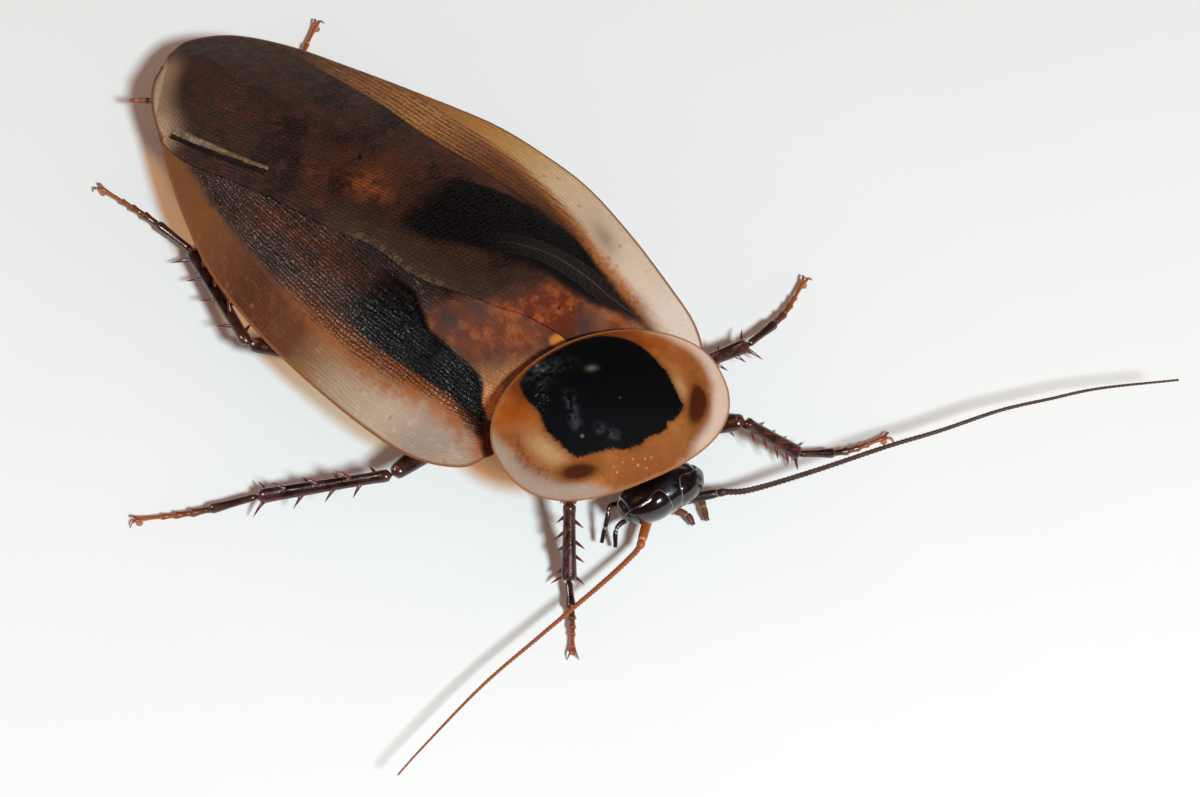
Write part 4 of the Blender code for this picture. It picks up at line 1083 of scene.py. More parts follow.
def right_marks(x, y, past_margin, past_out, past_in, seam):
    """The right wing case's own markings."""
    streak = (1 - eased(past_out, -0.5, 0.4)) * eased(past_in, -0.3, 0.5) * (1 - eased(y, 15.0, 25.0))
    return {
        "streak": streak,
        "strip": (1 - eased(np.abs(past_margin + 0.5), 0.3, 1.3)) * eased(y, 4, 9) * (1 - eased(y, 22, 30)),
        "base_zone": (1 - eased(past_in, -0.5, 0.3)) * (1 - eased(y + 0.5 * x, 9.5, 13.0)),
        "pink": 1 - eased(y + 0.5 * x, 2.6, 6.0),
        "notch": streak * (1 - eased(y + 0.25 * x, 2.2, 3.4)),
        "orange": patches(
            x, y, (0.4, (-4.4, 10.4), (1.8, 0.8), 20), (1, (-2.4, 9.2), (1.8, 0.7), 15),
            (0.9, (-3.0, 8.0), (2.4, 0.7), -20), (0.5, (-9.0, 28.0), (1.6, 4.0), 0)),
        "rust": patches(x, y, (0.7, (-8.6, 27.0), (2.2, 8.0), 4)),
        "amber_glow": eased(y, 3.0, 7.0) * (1 - eased(y, 20.0, 28.0)),
        "blush": 1 - np.maximum(eased(past_margin, 0.5, 2.4), eased(y, 14.0, 22.0)),
        "smoke": patches(
            x, y, (1, (-5.8, 12.0), (0.8, 1.3), 0), (1, (-3.0, 11.2), (1.0, 0.9), 20),
            (1, (-4.9, 16.6), (1.2, 1.8), 0), (1, (-5.9, 21.4), (1.0, 3.2), 8)),
    }


def wing_case(side, outer, inner, material):
    """A thin closed shell between the wing case's edges, with its main veins and folds raised."""
    columns, rows = WING_COLUMNS, WING_ROWS
    outer_path, inner_path = smooth_path(outer, rows + 1), smooth_path(inner, rows + 1)
    across = np.linspace(0, 1, columns + 1)
    flat = inner_path[:, None] + (outer_path - inner_path)[:, None] * across[None, :, None]
    x, y = flat[..., 0], flat[..., 1]
    height = dome(x, y) - (under_left(x, y) if side == "right" else 0.0)
    values = wing_values(side, x, y)
    ribs = 0.5 - 0.5 * np.cos(2 * math.pi * across * VEIN_RIBS[side])
    fade = eased(np.linspace(rows, 0, rows + 1), 0, 30)[:, None] * eased(values["edge"], 0.2, 1.5)
    height += RIB_HEIGHT[side] * ribs[None, :] * fade * (1 - 0.8 * values["base_zone"])
    if side == "left":
        far, along = line_distance(RIDGE, x, y)
        height += RIDGE_HEIGHT * np.exp(-((far / 0.2) ** 2)) * eased(along, 0.0, 0.3)
        fold = beyond(LEFT_FOLD, x, y)
        height -= FOLD_DEPTH * np.exp(-((fold / 0.3) ** 2)) * (1 - eased(y, 28, 36))
        height += CREASE_STEP * values["crease"]
    else:
        far, along = line_distance(FURROW, x, y)
        height -= FURROW_DEPTH * np.exp(-((far / 0.25) ** 2))
        height -= STREAK_DEPTH * values["streak"] * (1 - eased(y, 4.0, 9.0))
    thick = WING_THICK * (0.35 + 0.65 * eased(values["edge"], 0.0, 0.8))
    top = np.dstack([x, y, height])
    under = np.dstack([x, y, height - thick])
    shape = Shape()
    count, wide = (rows + 1) * (columns + 1), columns + 1
    grid = np.arange(count).reshape(rows + 1, wide)
    a, b, c, d = grid[:-1, :-1], grid[:-1, 1:], grid[1:, 1:], grid[1:, :-1]
    upper = np.stack([a, b, c, d], axis=-1).reshape(-1, 4)
    lower = upper[:, ::-1] + count
    loop = np.r_[grid[0, :-1], grid[:-1, -1], grid[-1, :0:-1], grid[:0:-1, 0]]
    after = np.roll(loop, -1)
    wall = np.stack([loop, loop + count, after + count, after], axis=1)
    points = np.vstack([top.reshape(-1, 3), under.reshape(-1, 3)])
    both = {key: np.tile(np.ravel(np.broadcast_to(value, x.shape)), 2) for key, value in values.items()}
    shape.add(points, [upper, lower, wall], **both)
    made = shape.finished(f"wing_case_{side}", material, "tegmen_brown", [f"tegmen_{side}"])
    u = np.tile(np.broadcast_to(across[None, :], x.shape).ravel(), 2)
    v = np.tile(np.broadcast_to(np.linspace(0, 1, rows + 1)[:, None], x.shape).ravel(), 2)
    corners = np.empty(len(made.data.loops), np.int32)
    made.data.loops.foreach_get("vertex_index", corners)
    layer = made.data.uv_layers.new(name="wing")
    layer.data.foreach_set("uv", np.stack([u, v], axis=1)[corners].astype(np.float32).ravel())
    return made


# Shield.

def outline_radius(angle):
    """The pronotum's edge distance in a direction, 90 degrees being forward."""
    power = np.where(np.sin(angle) > 0, FRONT_ROUNDNESS, REAR_ROUNDNESS)
    across = np.abs(np.cos(angle) / PRONOTUM_HALF_WIDTH) ** power
    along = np.abs(np.sin(angle) / PRONOTUM_HALF_LENGTH) ** power
    return (across + along) ** (-1 / power)


def from_pronotum(side, forward):
    """A place in the pronotum's own directions, as layout x and y."""
    cos, sin = math.cos(PRONOTUM_YAW), math.sin(PRONOTUM_YAW)
    return PRONOTUM_AT[0] + side * cos + forward * sin, PRONOTUM_AT[1] + side * sin - forward * cos


def pronotum():
    """The shield: a thin dome whose rim turns up a little, with the black mark's low relief."""
    out = np.sin(np.linspace(0, 1, PRONOTUM_ROUNDS + 1)[1:] * math.pi / 2) ** 0.9
    angle = round_angles(PRONOTUM_SPOKES)
    radius = outline_radius(angle)
    side = out[:, None] * (radius * np.cos(angle))[None]
    forward = out[:, None] * (radius * np.sin(angle))[None]
    reach = np.broadcast_to(out[:, None], side.shape)
    edge = (1 - reach) * radius[None]
    mark_path = smooth_path(BLOTCH + BLOTCH[:1], 140)
    mark = line_distance(mark_path, side, forward)[0] * np.where(inside(mark_path, side, forward), 1, -1)
    height = PRONOTUM_AT[2] + PRONOTUM_ROLL * side - PRONOTUM_PITCH * forward
    height = height + PRONOTUM_RISE * (1 - reach**2) ** 1.25
    lift = 0.05 * np.exp(-((edge - 0.15) / 0.18) ** 2) - 0.10 * np.exp(-((edge - 1.3) / 0.7) ** 2)
    lift = lift + 0.05 * eased(mark, -0.3, 0.5) - 0.05 * bell(side, forward, (-2.6, 1.2), (0.8, 2.0), 20)
    upper = height + lift * eased(edge, 0.0, 0.3)
    lower = height - PRONOTUM_THICK * 0.8 * np.sqrt(np.clip(1 - reach**8, 0, 1)) - 0.02
    x, y = from_pronotum(side, forward)
    direction = np.broadcast_to(np.degrees(np.arctan2(np.sin(angle), np.cos(angle)))[None], side.shape)
    table = np.array(PALE_BORDER)
    freckled, gleam = (
        np.minimum(*(line_distance(smooth_path(path, count), side, forward)[0] for path in paths))
        for paths, count in ((FRECKLED_ARCS, 40), (PAINTED_GLEAM_PATHS, 20)))
    values = {
        "rim": edge,
        "mark": mark,
        "pale": np.interp(direction, table[:, 0], table[:, 1]) - edge - 0.3,
        "right_side": 1 - eased(side, -3.0, 5.0),
        "rear_band": eased(-forward, 2.5, 4.6) * (1 - eased(side, 3.0, 7.5)) * eased(side, -8.0, -5.5),
        "ragged": 0.2 + 0.8 * eased(forward, -4.5, 0.0),
        "deep_orange": patches(
            side, forward, (1, (-6.6, -2.6), (1.5, 2.4), 10), (0.6, (-8.2, -3.0), (1.2, 1.6), 0),
            (0.7, (5.6, -4.2), (2.2, 1.0), 40)),
        "front": eased(forward, 3.4, 5.0) * eased(side, -4.0, -1.0),
        "cream": patches(side, forward, (1, (-6.5, 1.6), (2.3, 1.0), 63), (0.9, (6.2, 1.2), (0.5, 1.6), 0)),
        "brown": patches(
            side, forward, (1.3, (6.75, 3.0), (1.8, 0.85), -50), (0.5, (7.5, 1.6), (1.5, 0.7), -75),
            (1.3, (-4.9, 4.25), (1.8, 0.7), 14), (0.5, (-7.7, -3.6), (0.3, 0.3), 0)),
        "freckled": np.exp(-(freckled / 0.75) ** 2),
        # Where golden specks are painted as glints at the front of the ring.
        "golden": patches(side, forward, (1, (-1.2, 5.6), (2.6, 0.7), -4)),
        # Where highlights are painted on the black mark: a sheen, glinting scratches, curved gleams and a lamp's
        # reflection as a pale spot.
        "sheen": patches(side, forward, (0.95, (-3.2, -5.3), (2.0, 0.7), 12), (0.4, (-4.2, -4.2), (1.2, 0.8), 0)),
        "scratched": patches(side, forward, (1, (-4.7, -2.8), (0.5, 1.1), 20)),
        "gleam": np.exp(-(gleam / 0.42) ** 2),
        "pale_spot": patches(side, forward, (1, (0.2, -3.3), (0.42, 0.28), 15)),
    }
    rings_up = np.dstack([x, y, upper])
    rings_down = np.dstack([x, y, lower])[::-1]
    top = np.array((PRONOTUM_AT[0], PRONOTUM_AT[1], PRONOTUM_AT[2] + PRONOTUM_RISE + 0.19))
    shape = Shape()
    rings = np.concatenate([np.broadcast_to(top, (1, PRONOTUM_SPOKES, 3)) * 1.0, rings_up, rings_down])
    rings[0] += (rings_up[0] - top) * 0.02
    rows = {key: np.concatenate([value[:1], value, value[::-1]]) for key, value in values.items()}
    shape.add_loft(rings, **rows)
    return shape.finished("shield", pronotum_material(), "pronotum_amber", ["pronotum"])


# Head.

def head_turn():
    """The head's pitch and turn as one matrix."""
    cy, sy, cp, sp = math.cos(HEAD_YAW), math.sin(HEAD_YAW), math.cos(HEAD_PITCH), math.sin(HEAD_PITCH)
    yaw = np.array(((cy, -sy, 0), (sy, cy, 0), (0, 0, 1)))
    pitch = np.array(((1, 0, 0), (0, cp, -sp), (0, sp, cp)))
    return yaw @ pitch


def in_head(points):
    """Points in the head's axes, right, forward and up, as layout places."""
    local = np.asarray(points, float) * np.array((1, -1, 1))
    return local @ head_turn().T + HEAD_AT


def on_head(direction):
    """Where the head's surface lies in a direction measured in its half sizes, in its own axes."""
    direction = direction / np.linalg.norm(direction, axis=-1, keepdims=True)
    narrow = MOUTH_NARROWING + (1 - MOUTH_NARROWING) * eased(direction[..., 2], -1.0, 0.25)
    return direction * HEAD_SIZE * np.stack([narrow, np.ones_like(narrow), np.ones_like(narrow)], axis=-1)


def head():
    """The head capsule: broad crown, flat face and narrow mouth, with jaws and lip."""
    rows, sides = 90, 120
    polar = np.linspace(0, math.pi, rows + 1)[1:-1]
    angle = round_angles(sides)
    local = on_head(np.dstack([
        np.sin(polar)[:, None] * np.cos(angle), np.sin(polar)[:, None] * np.sin(angle),
        np.cos(polar)[:, None] * np.ones(sides)]))
    right, forward, up = local[..., 0], local[..., 1], local[..., 2]
    push = 1 - 0.05 * np.exp(-((up + 1.55) / 0.16) ** 2) * (forward > 0.3)
    push = push - 0.04 * np.exp(-((up + 2.35) / 0.12) ** 2) * (forward > 0.2)
    push = push - 0.05 * np.exp(-((np.abs(right) - 3.45) / 0.12) ** 2) * eased(up, -1.5, 0.5)
    local = local * push[..., None]
    values = {
        "mouth": eased(-local[..., 2], 1.2, 2.4),
        # Where a greyish reflection is painted on the lower cheeks, and the rough crown where glints are painted.
        "cheek": eased(np.abs(local[..., 0]), 3.0, 3.5) * eased(-local[..., 2], -1.6, 0.4),
        "crown": bell(right, forward, (0.3, -0.55), (0.55, 0.5)) * (up > 0),
    }
    shape = Shape()
    shape.add_loft(in_head(local), **values)
    mandible = np.array([(0.55, 0.9, -2.2), (0.75, 1.3, -2.65), (0.45, 1.4, -3.0), (0.1, 1.35, -3.15)])
    for side in (-1, 1):
        path = smooth_path(in_head(mandible * (side, 1, 1)), 12)
        shape.add_loft(tube_rings(path, np.linspace(0.5, 0.12, 12), 12), mouth=1.0)
    lip = smooth_path(in_head([(0, 1.45, -2.1), (0, 1.55, -2.45), (0, 1.4, -2.8)]), 10)
    shape.add_loft(tube_rings(lip, [0.45, 0.56, 0.64, 0.68, 0.69, 0.68, 0.64, 0.56, 0.42, 0.26], 16, 0.45), mouth=1.0)
    return shape.finished("head_capsule", head_material(), "head_black", ["head"])


def eye(name, material):
    """An eye: a low lens on the head inside its outline, with a thin raised border."""
    middle = unit(EYE_MIDDLE[name])
    outline = smooth_path(EYE_OUTLINE[name] + EYE_OUTLINE[name][:1], 97)[:-1]
    outline = outline / np.linalg.norm(outline, axis=1, keepdims=True)
    reach = np.sin(np.linspace(0.02, 1, 34) * math.pi / 2)
    toward = middle + (outline - middle)[None] * reach[:, None, None]
    outer = on_head(toward)
    normal = outer / HEAD_SIZE**2
    normal = normal / np.linalg.norm(normal, axis=-1, keepdims=True)
    lift = EYE_BULGE * (1 - reach**2) - 0.03 * eased(reach, 0.9, 1.0) + 0.03 * np.exp(-((reach - 0.965) / 0.02) ** 2)
    upper = outer + normal * lift[:, None, None]
    lower = (outer * 0.93)[::-1]
    rim = np.concatenate([reach, np.zeros(len(reach))])
    shape = Shape()
    shape.add_loft(in_head(np.concatenate([upper, lower])), rim=rim)
    return shape.finished(f"eye_{name}_lens", material, "eye_black", [f"eye_{name}"])


def jointed(shape, path, radii_of, joints, sides, flatten=1.0, **values):
    """Segments along a path, each swelling to its far end and pinched at its joint."""
    path = smooth_path(path, joints * JOINT_STEPS + 1)
    radii, gaps = [], []
    for number in range(len(path)):
        part = (number % JOINT_STEPS) / JOINT_STEPS
        at_joint = part == 0 and 0 < number < len(path) - 1
        pinch = 0.66 if at_joint else 0.86 + 0.14 * math.sin(math.pi * min(part * 1.3, 1))
        radii.append(radii_of(number / (len(path) - 1)) * pinch)
        gaps.append(1.0 if at_joint else 0.0)
    shape.add_loft(tube_rings(path, radii, sides, flatten), gap=np.array(gaps), **values)


def palp(name, points):
    """A palp: the animal's right ones thin and dark, its left ones broad, flat and brown with pale edges."""
    leaf = name.endswith("left")
    joints = 4 if "maxillary" in name else 3
    shape = Shape()
    if leaf:
        swelling = lambda at: 0.24 + 0.12 * math.sin(math.pi * min(at * 1.05, 1))
        jointed(shape, points, swelling, joints, 20, 0.55, leaf=1.0)
    else:
        jointed(shape, points, lambda at: 0.25 - 0.05 * at, joints, 16, leaf=0.0)
    return shape


def feeler_base(name, material):
    """The long first joint of a feeler and the small one after it."""
    side = 1 if name == "left" else -1
    root = in_head((side * SOCKET_AT[0], SOCKET_AT[1], SOCKET_AT[2]))
    end = np.array(SCAPE_END[name])
    bow = (root + end) / 2 + np.array((0, 0, 0.12))
    path = smooth_path((root, bow, end), 16)
    radii = np.interp(np.linspace(0, 1, 16), (0, 0.1, 0.3, 0.8, 0.97, 1), (0.3, 0.36, 0.42, 0.4, 0.36, 0.2))
    shape = Shape()
    orange = 1.0 if name == "right" else 0.0
    pale = np.exp(-((np.arange(16) - 4.5) / 1.2) ** 2) * 0.5
    shape.add_loft(tube_rings(path, radii, 24), orange=orange, gap=pale)
    run = unit(end - root)
    ring = tube_rings(smooth_path((root - run * 0.25, root + run * 0.2), 6), (0.45, 0.56, 0.58, 0.56, 0.5, 0.4), 24)
    shape.add_loft(ring, gap=0.25)
    dot = end - run * 0.12
    cuff = tube_rings(np.array((dot - run * 0.12, dot, dot + run * 0.12)), (0.3, 0.375, 0.3), 20)
    shape.add_loft(cuff, orange=orange, gap=1.0)
    first = np.array(FEELER[name][0])
    link = smooth_path((end - run * 0.1, first + unit(first - end) * 0.3), 8)
    shape.add_loft(tube_rings(link, (0.22, 0.3, 0.34, 0.35, 0.35, 0.34, 0.3, 0.2), 20), orange=orange, gap=0.1)
    return shape.finished(f"feeler_base_{name}", material, "antenna_brown", [f"antenna_base_{name}"])


# Repeats made by Geometry Nodes.

def node_tree(name, inputs):
    """A geometry tree with named inputs: itself, a node maker and its entry sockets."""
    tree = bpy.data.node_groups.new(name, "GeometryNodeTree")
    tree.interface.new_socket("Geometry", in_out="INPUT", socket_type="NodeSocketGeometry")
    for key, (kind, default) in inputs.items():
        socket = tree.interface.new_socket(key, in_out="INPUT", socket_type=f"NodeSocket{kind}")
        if default is not None:
            socket.default_value = default
    tree.interface.new_socket("Geometry", in_out="OUTPUT", socket_type="NodeSocketGeometry")

    def add(kind, inputs=None, **settings):
        made = tree.nodes.new(kind)
        for key, value in settings.items():
            setattr(made, key, value)
        for key, value in (inputs or {}).items():
            if isinstance(value, bpy.types.NodeSocket):
                tree.links.new(value, made.inputs[key])
            else:
                made.inputs[key].default_value = value
        return made

    return tree, add, add("NodeGroupInput").outputs


def bead_tree():
    """Beads one after another along a curve, thinner toward its end."""
    tree, add, entry = node_tree("feeler_beads", {
        "Count": ("Int", 100), "First Radius": ("Float", 0.0003), "Last Radius": ("Float", 0.00008),
        "Bead Length": ("Float", 0.0004), "Finish": ("Material", None),
    })
    points = add("GeometryNodeResampleCurve", {"Curve": entry["Geometry"], "Count": entry["Count"]}, mode="COUNT")
    bead = add("GeometryNodeMeshCone", {
        "Vertices": 10, "Side Segments": 4, "Fill Segments": 1, "Radius Top": 1.0, "Radius Bottom": 0.66,
        "Depth": 1.0,
    })
    height = add("ShaderNodeSeparateXYZ", {0: add("GeometryNodeInputPosition").outputs[0]})
    waist = add("ShaderNodeMapRange", {"Value": height.outputs[2], "From Min": -0.5, "From Max": -0.25, "To Min": 1.0,
                                       "To Max": 0.0})
    ringed = add("GeometryNodeStoreNamedAttribute", {
        "Geometry": bead.outputs["Mesh"], "Name": "gap", "Value": waist.outputs[0],
    }, data_type="FLOAT", domain="POINT")
    tangent = add("GeometryNodeInputTangent")
    turn = add("FunctionNodeAlignRotationToVector", {"Vector": tangent.outputs[0]}, axis="Z")
    along = add("GeometryNodeSplineParameter")
    radius = add("ShaderNodeMapRange", {
        "Value": along.outputs["Factor"], "To Min": entry["First Radius"], "To Max": entry["Last Radius"],
    })
    size = add("ShaderNodeCombineXYZ", {0: radius.outputs[0], 1: radius.outputs[0], 2: entry["Bead Length"]})
    copies = add("GeometryNodeInstanceOnPoints", {
        "Points": points.outputs[0], "Instance": ringed.outputs[0], "Rotation": turn.outputs[0],
        "Scale": size.outputs[0],
    })
    far = add("GeometryNodeStoreNamedAttribute", {
        "Geometry": copies.outputs[0], "Name": "along", "Value": along.outputs["Factor"],
    }, data_type="FLOAT", domain="INSTANCE")
    real = add("GeometryNodeRealizeInstances", {"Geometry": far.outputs[0]})
    finish = add("GeometryNodeSetMaterial", {"Geometry": real.outputs[0], "Material": entry["Finish"]})
    smooth = add("GeometryNodeSetShadeSmooth", {"Geometry": finish.outputs[0]})
    add("NodeGroupOutput", {0: smooth.outputs[0]})
    return tree


def grown(source, tree, **inputs):
    """The plain mesh that a geometry tree makes from an object's mesh or curve."""
    maker = source.modifiers.new("maker", "NODES")
    maker.node_group = tree
    names = {item.name: item.identifier for item in tree.interface.items_tree if item.in_out == "INPUT"}
    for key, value in inputs.items():
        maker[names[key.replace("_", " ")]] = value
    graph = bpy.context.evaluated_depsgraph_get()
    mesh = bpy.data.meshes.new_from_object(source.evaluated_get(graph))
    source.modifiers.remove(maker)
    return mesh


def feeler(name, tree, material):
    """The long part of a feeler: beads along its path."""
    beads, first_radius, last_radius = FEELER_BEADS[name]
    path = smooth_path(FEELER[name], 80)
    path[-1] -= unit(path[-1] - path[-2]) * TIP_TRIM
    path = (path + SHIFT) * MM
    curve = bpy.data.curves.new("path", "CURVE")
    curve.dimensions = "3D"
    spline = curve.splines.new("POLY")
    spline.points.add(len(path) - 1)
    for point, at in zip(spline.points, path):
        point.co = (*at, 1.0)
    guide = linked("path", curve)
    length = float(np.linalg.norm(np.diff(path, axis=0), axis=1).sum())
    mesh = grown(guide, tree, Count=beads, First_Radius=first_radius * MM, Last_Radius=last_radius * MM,
                 Bead_Length=length / (beads - 1) * BEAD_OVERLAP, Finish=material)
    bpy.data.objects.remove(guide)
    along = np.empty(len(mesh.vertices), np.float32)
    mesh.attributes["along"].data.foreach_get("value", along)
    orange = mesh.attributes.new("orange", "FLOAT", "POINT")
    strength = (1 - eased(along, 0.0, 0.75)) * 0.95 if name == "right" else 0.1 * (1 - eased(along, 0.0, 0.3))
    orange.data.foreach_set("value", strength.astype(np.float32))
    return piece(f"feeler_{name}", mesh, material, [f"antenna_{name}"])


# Legs.

def limb_rings(start, end, halves, count, sides):
    """Rings of a flattened limb whose half sizes are given along its length, its ends rounded."""
    direction = unit(end - start)
    across, above = frame_along(direction)
    table = np.array(halves)
    angles = round_angles(sides)
    rings = []
    for at in np.linspace(0, 1, count):
        wide, tall = np.interp(at, table[:, 0], table[:, 1]), np.interp(at, table[:, 0], table[:, 2])
        cap = math.sqrt(max(1 - (1 - min(at, 1 - at) / 0.05) ** 2, 0.02)) if min(at, 1 - at) < 0.05 else 1.0
        ring = np.outer(np.cos(angles), across) * wide + np.outer(np.sin(angles), above) * tall
        rings.append(start + (end - start) * at + ring * cap)
    return np.array(rings)


def spine_places(start, end, beyond_at, halves, rows, length, draw):
    """Roots, tips and strengths of the spines in rows along a limb, as the solids have them."""
    direction = unit(end - start)
    across, above = frame_along(direction)
    table = np.array(halves)
    found = []
    for angle, places in rows:
        out = across * math.cos(math.radians(angle)) + above * math.sin(math.radians(angle))
        for place in places:
            at = place + draw.uniform(-0.03, 0.03)
            half = float(np.interp(at, table[:, 0], table[:, 2]))
            base = start + (end - start) * at + out * half * 0.6
            rake = SPINE_RAKE + draw.uniform(-0.12, 0.12)
            spur = 1.0 + 0.25 * float(eased(place, 0.85, 0.95))
            tip = base + unit(out + direction * rake) * length * draw.uniform(0.85, 1.15) * spur
            tip[2] = max(tip[2], SPINE_CLEAR)
            run = beyond_at - end
            nearest = end + run * min(max(np.dot(tip - end, run) / np.dot(run, run), 0), 1)
            if np.linalg.norm(tip - nearest) > SPINE_AWAY:
                found.append((base, tip))
    return found


def add_spine(shape, base, tip):
    """A spine that swells at its root and curves to a sharp point."""
    bend = (base + tip) / 2 + np.array((0, 0, 0.05)) * np.linalg.norm(tip - base)
    path = smooth_path((base, bend, tip), 7)
    shape.add_loft(tube_rings(path, SPINE_RADIUS * SPINE_TAPER, 8), spine=np.linspace(0.4, 1.0, 7))


def leg(name, points, material):
    """A whole leg: coxa, trochanter, femur, spiny tibia, five-jointed tarsus, pads and claws."""
    root, trochanter, knee, ankle, bend, toe = (np.array(point, float) for point in points)
    shape = Shape()
    shape.add_loft(limb_rings(root, trochanter, COXA_HALF, 22, 28), joint=0.35)
    thigh = unit(knee - trochanter)
    hip = limb_rings(trochanter - thigh * 0.75, trochanter + thigh * 0.9,
                     ((0, 0.55, 0.5), (0.5, 0.78, 0.68), (1, 0.6, 0.55)), 12, 20)
    shape.add_loft(hip, joint=0.6)
    ends = np.abs(np.linspace(-1, 1, 30)) ** 8
    shape.add_loft(limb_rings(trochanter, knee, FEMUR_HALF, 30, 28), joint=ends)
    shape.add_loft(limb_rings(knee, ankle, TIBIA_HALF, 30, 24), joint=ends)
    draw = random.Random(f"41 {name}")
    spines = spine_places(trochanter, knee, ankle, FEMUR_HALF, FEMUR_ROWS, FEMUR_SPINE, draw)
    length = TIBIA_SPINE[name.split("_")[0]]
    spines += spine_places(knee, ankle, bend, TIBIA_HALF, TIBIA_ROWS, length, draw)
    for base, tip in spines:
        add_spine(shape, base, tip)
    path = smooth_path((ankle, bend, toe), 61)
    for number, (a, b) in enumerate(zip(TARSUS_SHARES, TARSUS_SHARES[1:])):
        part = path[int(a * 60):int(b * 60) + 1]
        part = smooth_path(part, 12)
        taper = 0.40 - 0.05 * number
        radii = taper * np.interp(np.linspace(0, 1, 12), (0, 0.08, 0.5, 0.92, 1), (0.55, 0.78, 0.82, 1.12, 0.7))
        tip_share = eased(a + (b - a) * np.linspace(0, 1, 12), 0.3, 1.0) * 0.85
        shape.add_loft(tube_rings(part, radii, 16), joint=0.2, foot_tip=tip_share)
        if 0 < number:
            pad_at = part[0] - UP * taper * 0.75
            low = max(pad_at[2] - 0.18, 0.02)
            pad = tube_rings(np.array([pad_at + UP * 0.1, pad_at, (*pad_at[:2], low)]), (0.2, 0.24, 0.1), 8)
            shape.add_loft(pad, foot_tip=1.0)
    run = path[-1] - path[-8]
    run[2] = 0
    run = unit(run)
    aside = np.cross(run, UP)
    sole = np.array([path[-1], path[-1] * (1, 1, 0.5), path[-1] * (1, 1, 0.0)])
    shape.add_loft(tube_rings(sole + run * 0.02, (0.2, 0.26, 0.33), 12), foot_tip=1.0)
    for side in (-1, 1):
        start = path[-1] - run * 0.1 + aside * 0.08 * side
        middle = path[-1] + run * 0.5 + aside * 0.26 * side + UP * 0.1
        tip = path[-1] + run * 0.78 + aside * 0.5 * side
        tip[2] = 0.1
        claw = smooth_path((start, middle, tip), 9)
        rings = tube_rings(claw, np.linspace(0.15, 0.025, 9), 10)
        shape.add_loft(rings, spine=0.3, foot_tip=np.linspace(0.8, 0.3, 9))
    nodes = [f"{part}_{name}" for part in ("coxa", "femur", "tibia", "tarsus")]
    return shape.finished(f"leg_{name}", material, "leg_brown", nodes)


# Trunk.

def trunk_rings(sections, sides, roundness):
    """Rings of a flattened body given by sections across it."""
    rings = []
    for back, middle, under, top, half, yaw in sections:
        cy, sy = math.cos(math.radians(yaw)), math.sin(math.radians(yaw))
        angle = round_angles(sides)
        cos, sin = np.cos(angle), np.sin(angle)
        across = np.copysign(np.abs(cos) ** (2 / roundness), cos) * half
        height = np.copysign(np.abs(sin) ** (2 / roundness), sin) * (top - under) / 2
        rings.append(np.column_stack([middle + across * cy, back + across * sy, (top + under) / 2 + height]))
    return np.array(rings)


def dense(sections, count):
    """The same sections, many more of them."""
    table = np.array(sections, float)
    at = np.linspace(0, len(table) - 1, count)
    return np.column_stack([np.interp(at, range(len(table)), table[:, k]) for k in range(table.shape[1])])


def trunk(material):
    """Prothorax, thorax and the belly's overlapping plates as one skin piece."""
    shape = Shape()
    front = []
    for forward, side, under, top, half in PROTHORAX:
        x, y = from_pronotum(side, forward)
        front.append((y, x, under, top, half, math.degrees(PRONOTUM_YAW)))
    shape.add_loft(trunk_rings(dense(front, 20), 48, 2.6))
    shape.add_loft(trunk_rings(dense(THORAX, 24), 64, 2.6))
    length = (ABDOMEN_TO - ABDOMEN_FROM) / ABDOMEN_SEGMENTS
    sections, edges = [], []
    for number in range(ABDOMEN_SEGMENTS):
        for part, swell in PLATE_SWELL:
            back = ABDOMEN_FROM + (number + part) * length
            middle, half, under, top = (
                float(np.interp(back, ABDOMEN_Y, values))
                for values in (ABDOMEN_X, ABDOMEN_HALF, ABDOMEN_UNDER, ABDOMEN_TOP))
            sections.append((back, middle, under - swell, top + swell, half + swell, 0.0))
            edges.append(eased(part, 0.7, 0.97))
    shape.add_loft(trunk_rings(sections, 72, 2.1), plate_edge=np.array(edges))
    return shape.finished("trunk_skin", material, "body_brown", ["prothorax", "thorax", "abdomen"])


# Stage.

def camera():
    """The photograph's view."""
    back = seen_from(*CAMERA_FROM)
    data = bpy.data.cameras.new("camera")
    data.sensor_width = CAMERA_SENSOR
    data.lens = CAMERA_LENS
    data.clip_start, data.clip_end = CAMERA_CLIP
    made = linked("camera", data)
    azimuth = math.radians(CAMERA_FROM[0])
    right = Vector((math.cos(azimuth), math.sin(azimuth), 0))
    turn = Matrix((right, back.cross(right), back)).transposed().to_4x4()
    made.matrix_world = Matrix.Translation(CAMERA_TARGET + back * CAMERA_DISTANCE) @ turn
    bpy.context.scene.camera = made


def area_light(name, azimuth, elevation, distance, size, power, colour):
    """A round soft lamp aimed at the model's middle from a direction."""
    back = seen_from(azimuth, elevation)
    data = bpy.data.lights.new(name, "AREA")
    data.shape = "DISK"
    data.size = size
    data.energy = power
    data.color = colour
    made = linked(name, data)
    made.location = back * distance
    made.rotation_euler = back.to_track_quat("Z", "Y").to_euler()
    return made


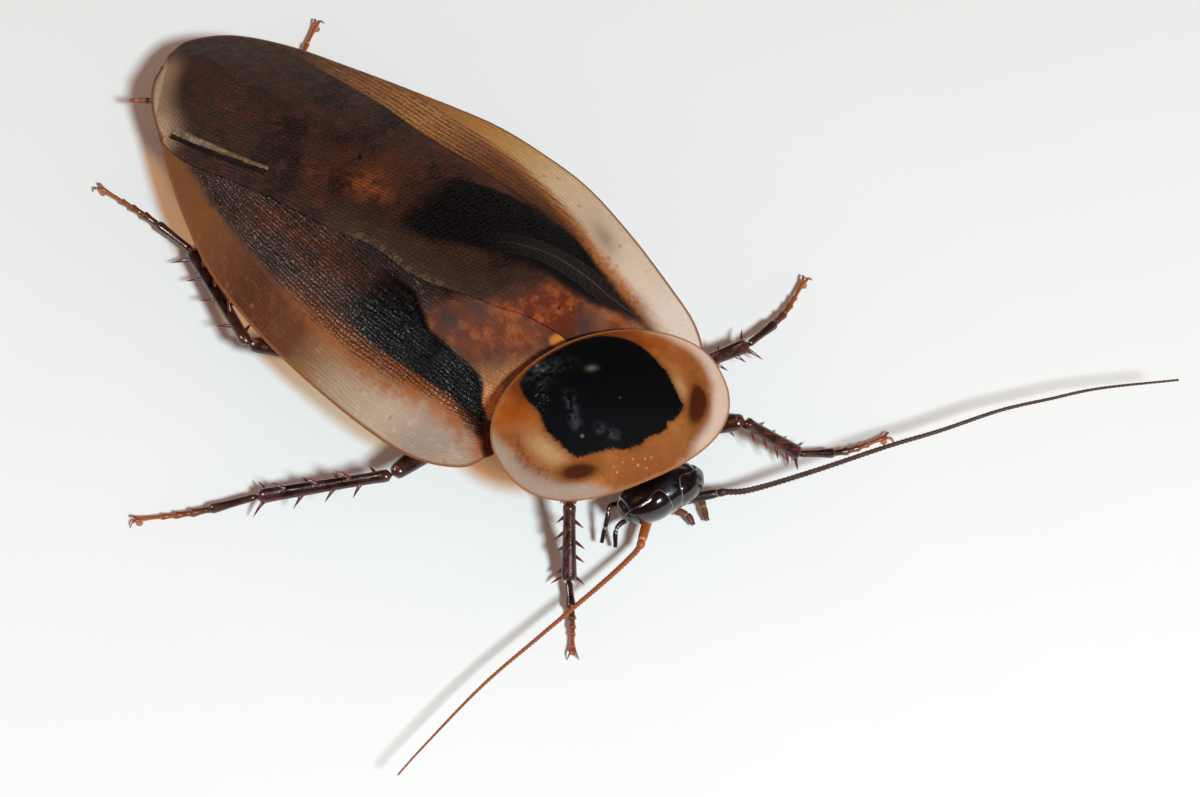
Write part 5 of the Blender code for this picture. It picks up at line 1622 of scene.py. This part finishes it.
def stage():
    """A pale floor painted brighter towards the camera, soft light all round, the key lamp and a small one from
    behind.
    """
    mesh = bpy.data.meshes.new("floor")
    corners = [(x * FLOOR_HALF, y * FLOOR_HALF, 0) for x, y in ((-1, -1), (1, -1), (1, 1), (-1, 1))]
    mesh.from_pydata(corners, [], [(0, 1, 2, 3)])
    material, t, shader = new_material("pale_floor", 0.75, specular=0.2)
    place = t.place()
    # The floor's colour is painted brighter towards the camera, standing in for the light's fall-off; the noise is a
    # random tone.
    near = t.node("ShaderNodeVectorMath", {0: place, 1: (-0.69, -0.72, 0.0)}, operation="DOT_PRODUCT")
    tint = t.coats(
        (0.765, 0.75, 0.745),
        (t.step(near.outputs["Value"], -0.055, 0.055), (0.885, 0.885, 0.88)),
        (t.times(t.noise(place, 60.0, 3.0), 0.12), (0.70, 0.695, 0.685)),
    )
    t.feed(shader["Base Color"], tint)
    mesh.materials.append(material)
    linked("floor", mesh)
    world = bpy.data.worlds.new("studio")
    world.use_nodes = True
    t = Tree(world.node_tree)
    height = t.node("ShaderNodeSeparateXYZ", {0: t.node("ShaderNodeTexCoord").outputs["Generated"]}).outputs[2]
    back = world.node_tree.nodes["Background"].inputs
    t.feed(back["Color"], t.mix(t.step(height, 0.25, 0.62), (1.0, 0.62, 0.50), (0.14, 0.09, 0.07)))
    back["Strength"].default_value = WORLD_STRENGTH
    world.cycles_visibility.glossy = False
    bpy.context.scene.world = world
    area_light("key", *KEY_LAMP)
    area_light("rim", *RIM_LAMP).visible_diffuse = False
    bpy.context.scene.view_settings.view_transform = "Standard"


def main():
    """Sets the stage, then builds the animal from its wing cases to its trunk."""
    camera()
    stage()
    wing_case("left", LEFT_OUTER, LEFT_INNER, wing_material("left_wing_case", LEFT_LOOK))
    wing_case("right", RIGHT_OUTER, RIGHT_INNER, wing_material("right_wing_case", RIGHT_LOOK))
    pronotum()
    head()
    lens = eye_material()
    eye("left", lens)
    eye("right", lens)
    ringed = feeler_material()
    beads = bead_tree()
    feeler_base("left", ringed)
    feeler_base("right", ringed)
    feeler("left", beads, ringed)
    feeler("right", beads, ringed)
    brown = leg_material()
    for name, points in LEGS.items():
        leg(name, points, brown)
    satin = palp_material()
    for name, points in PALPS.items():
        palp(name, points).finished(f"{name}_joints", satin, "palp_brown", [name])
    for name, points in CERCI.items():
        shape = Shape()
        jointed(shape, points, lambda at: 0.52 - 0.34 * at, 9, 16, orange=0.7)
        shape.finished(f"{name}_rings", ringed, "antenna_brown", [name])
    trunk(body_material())


main()
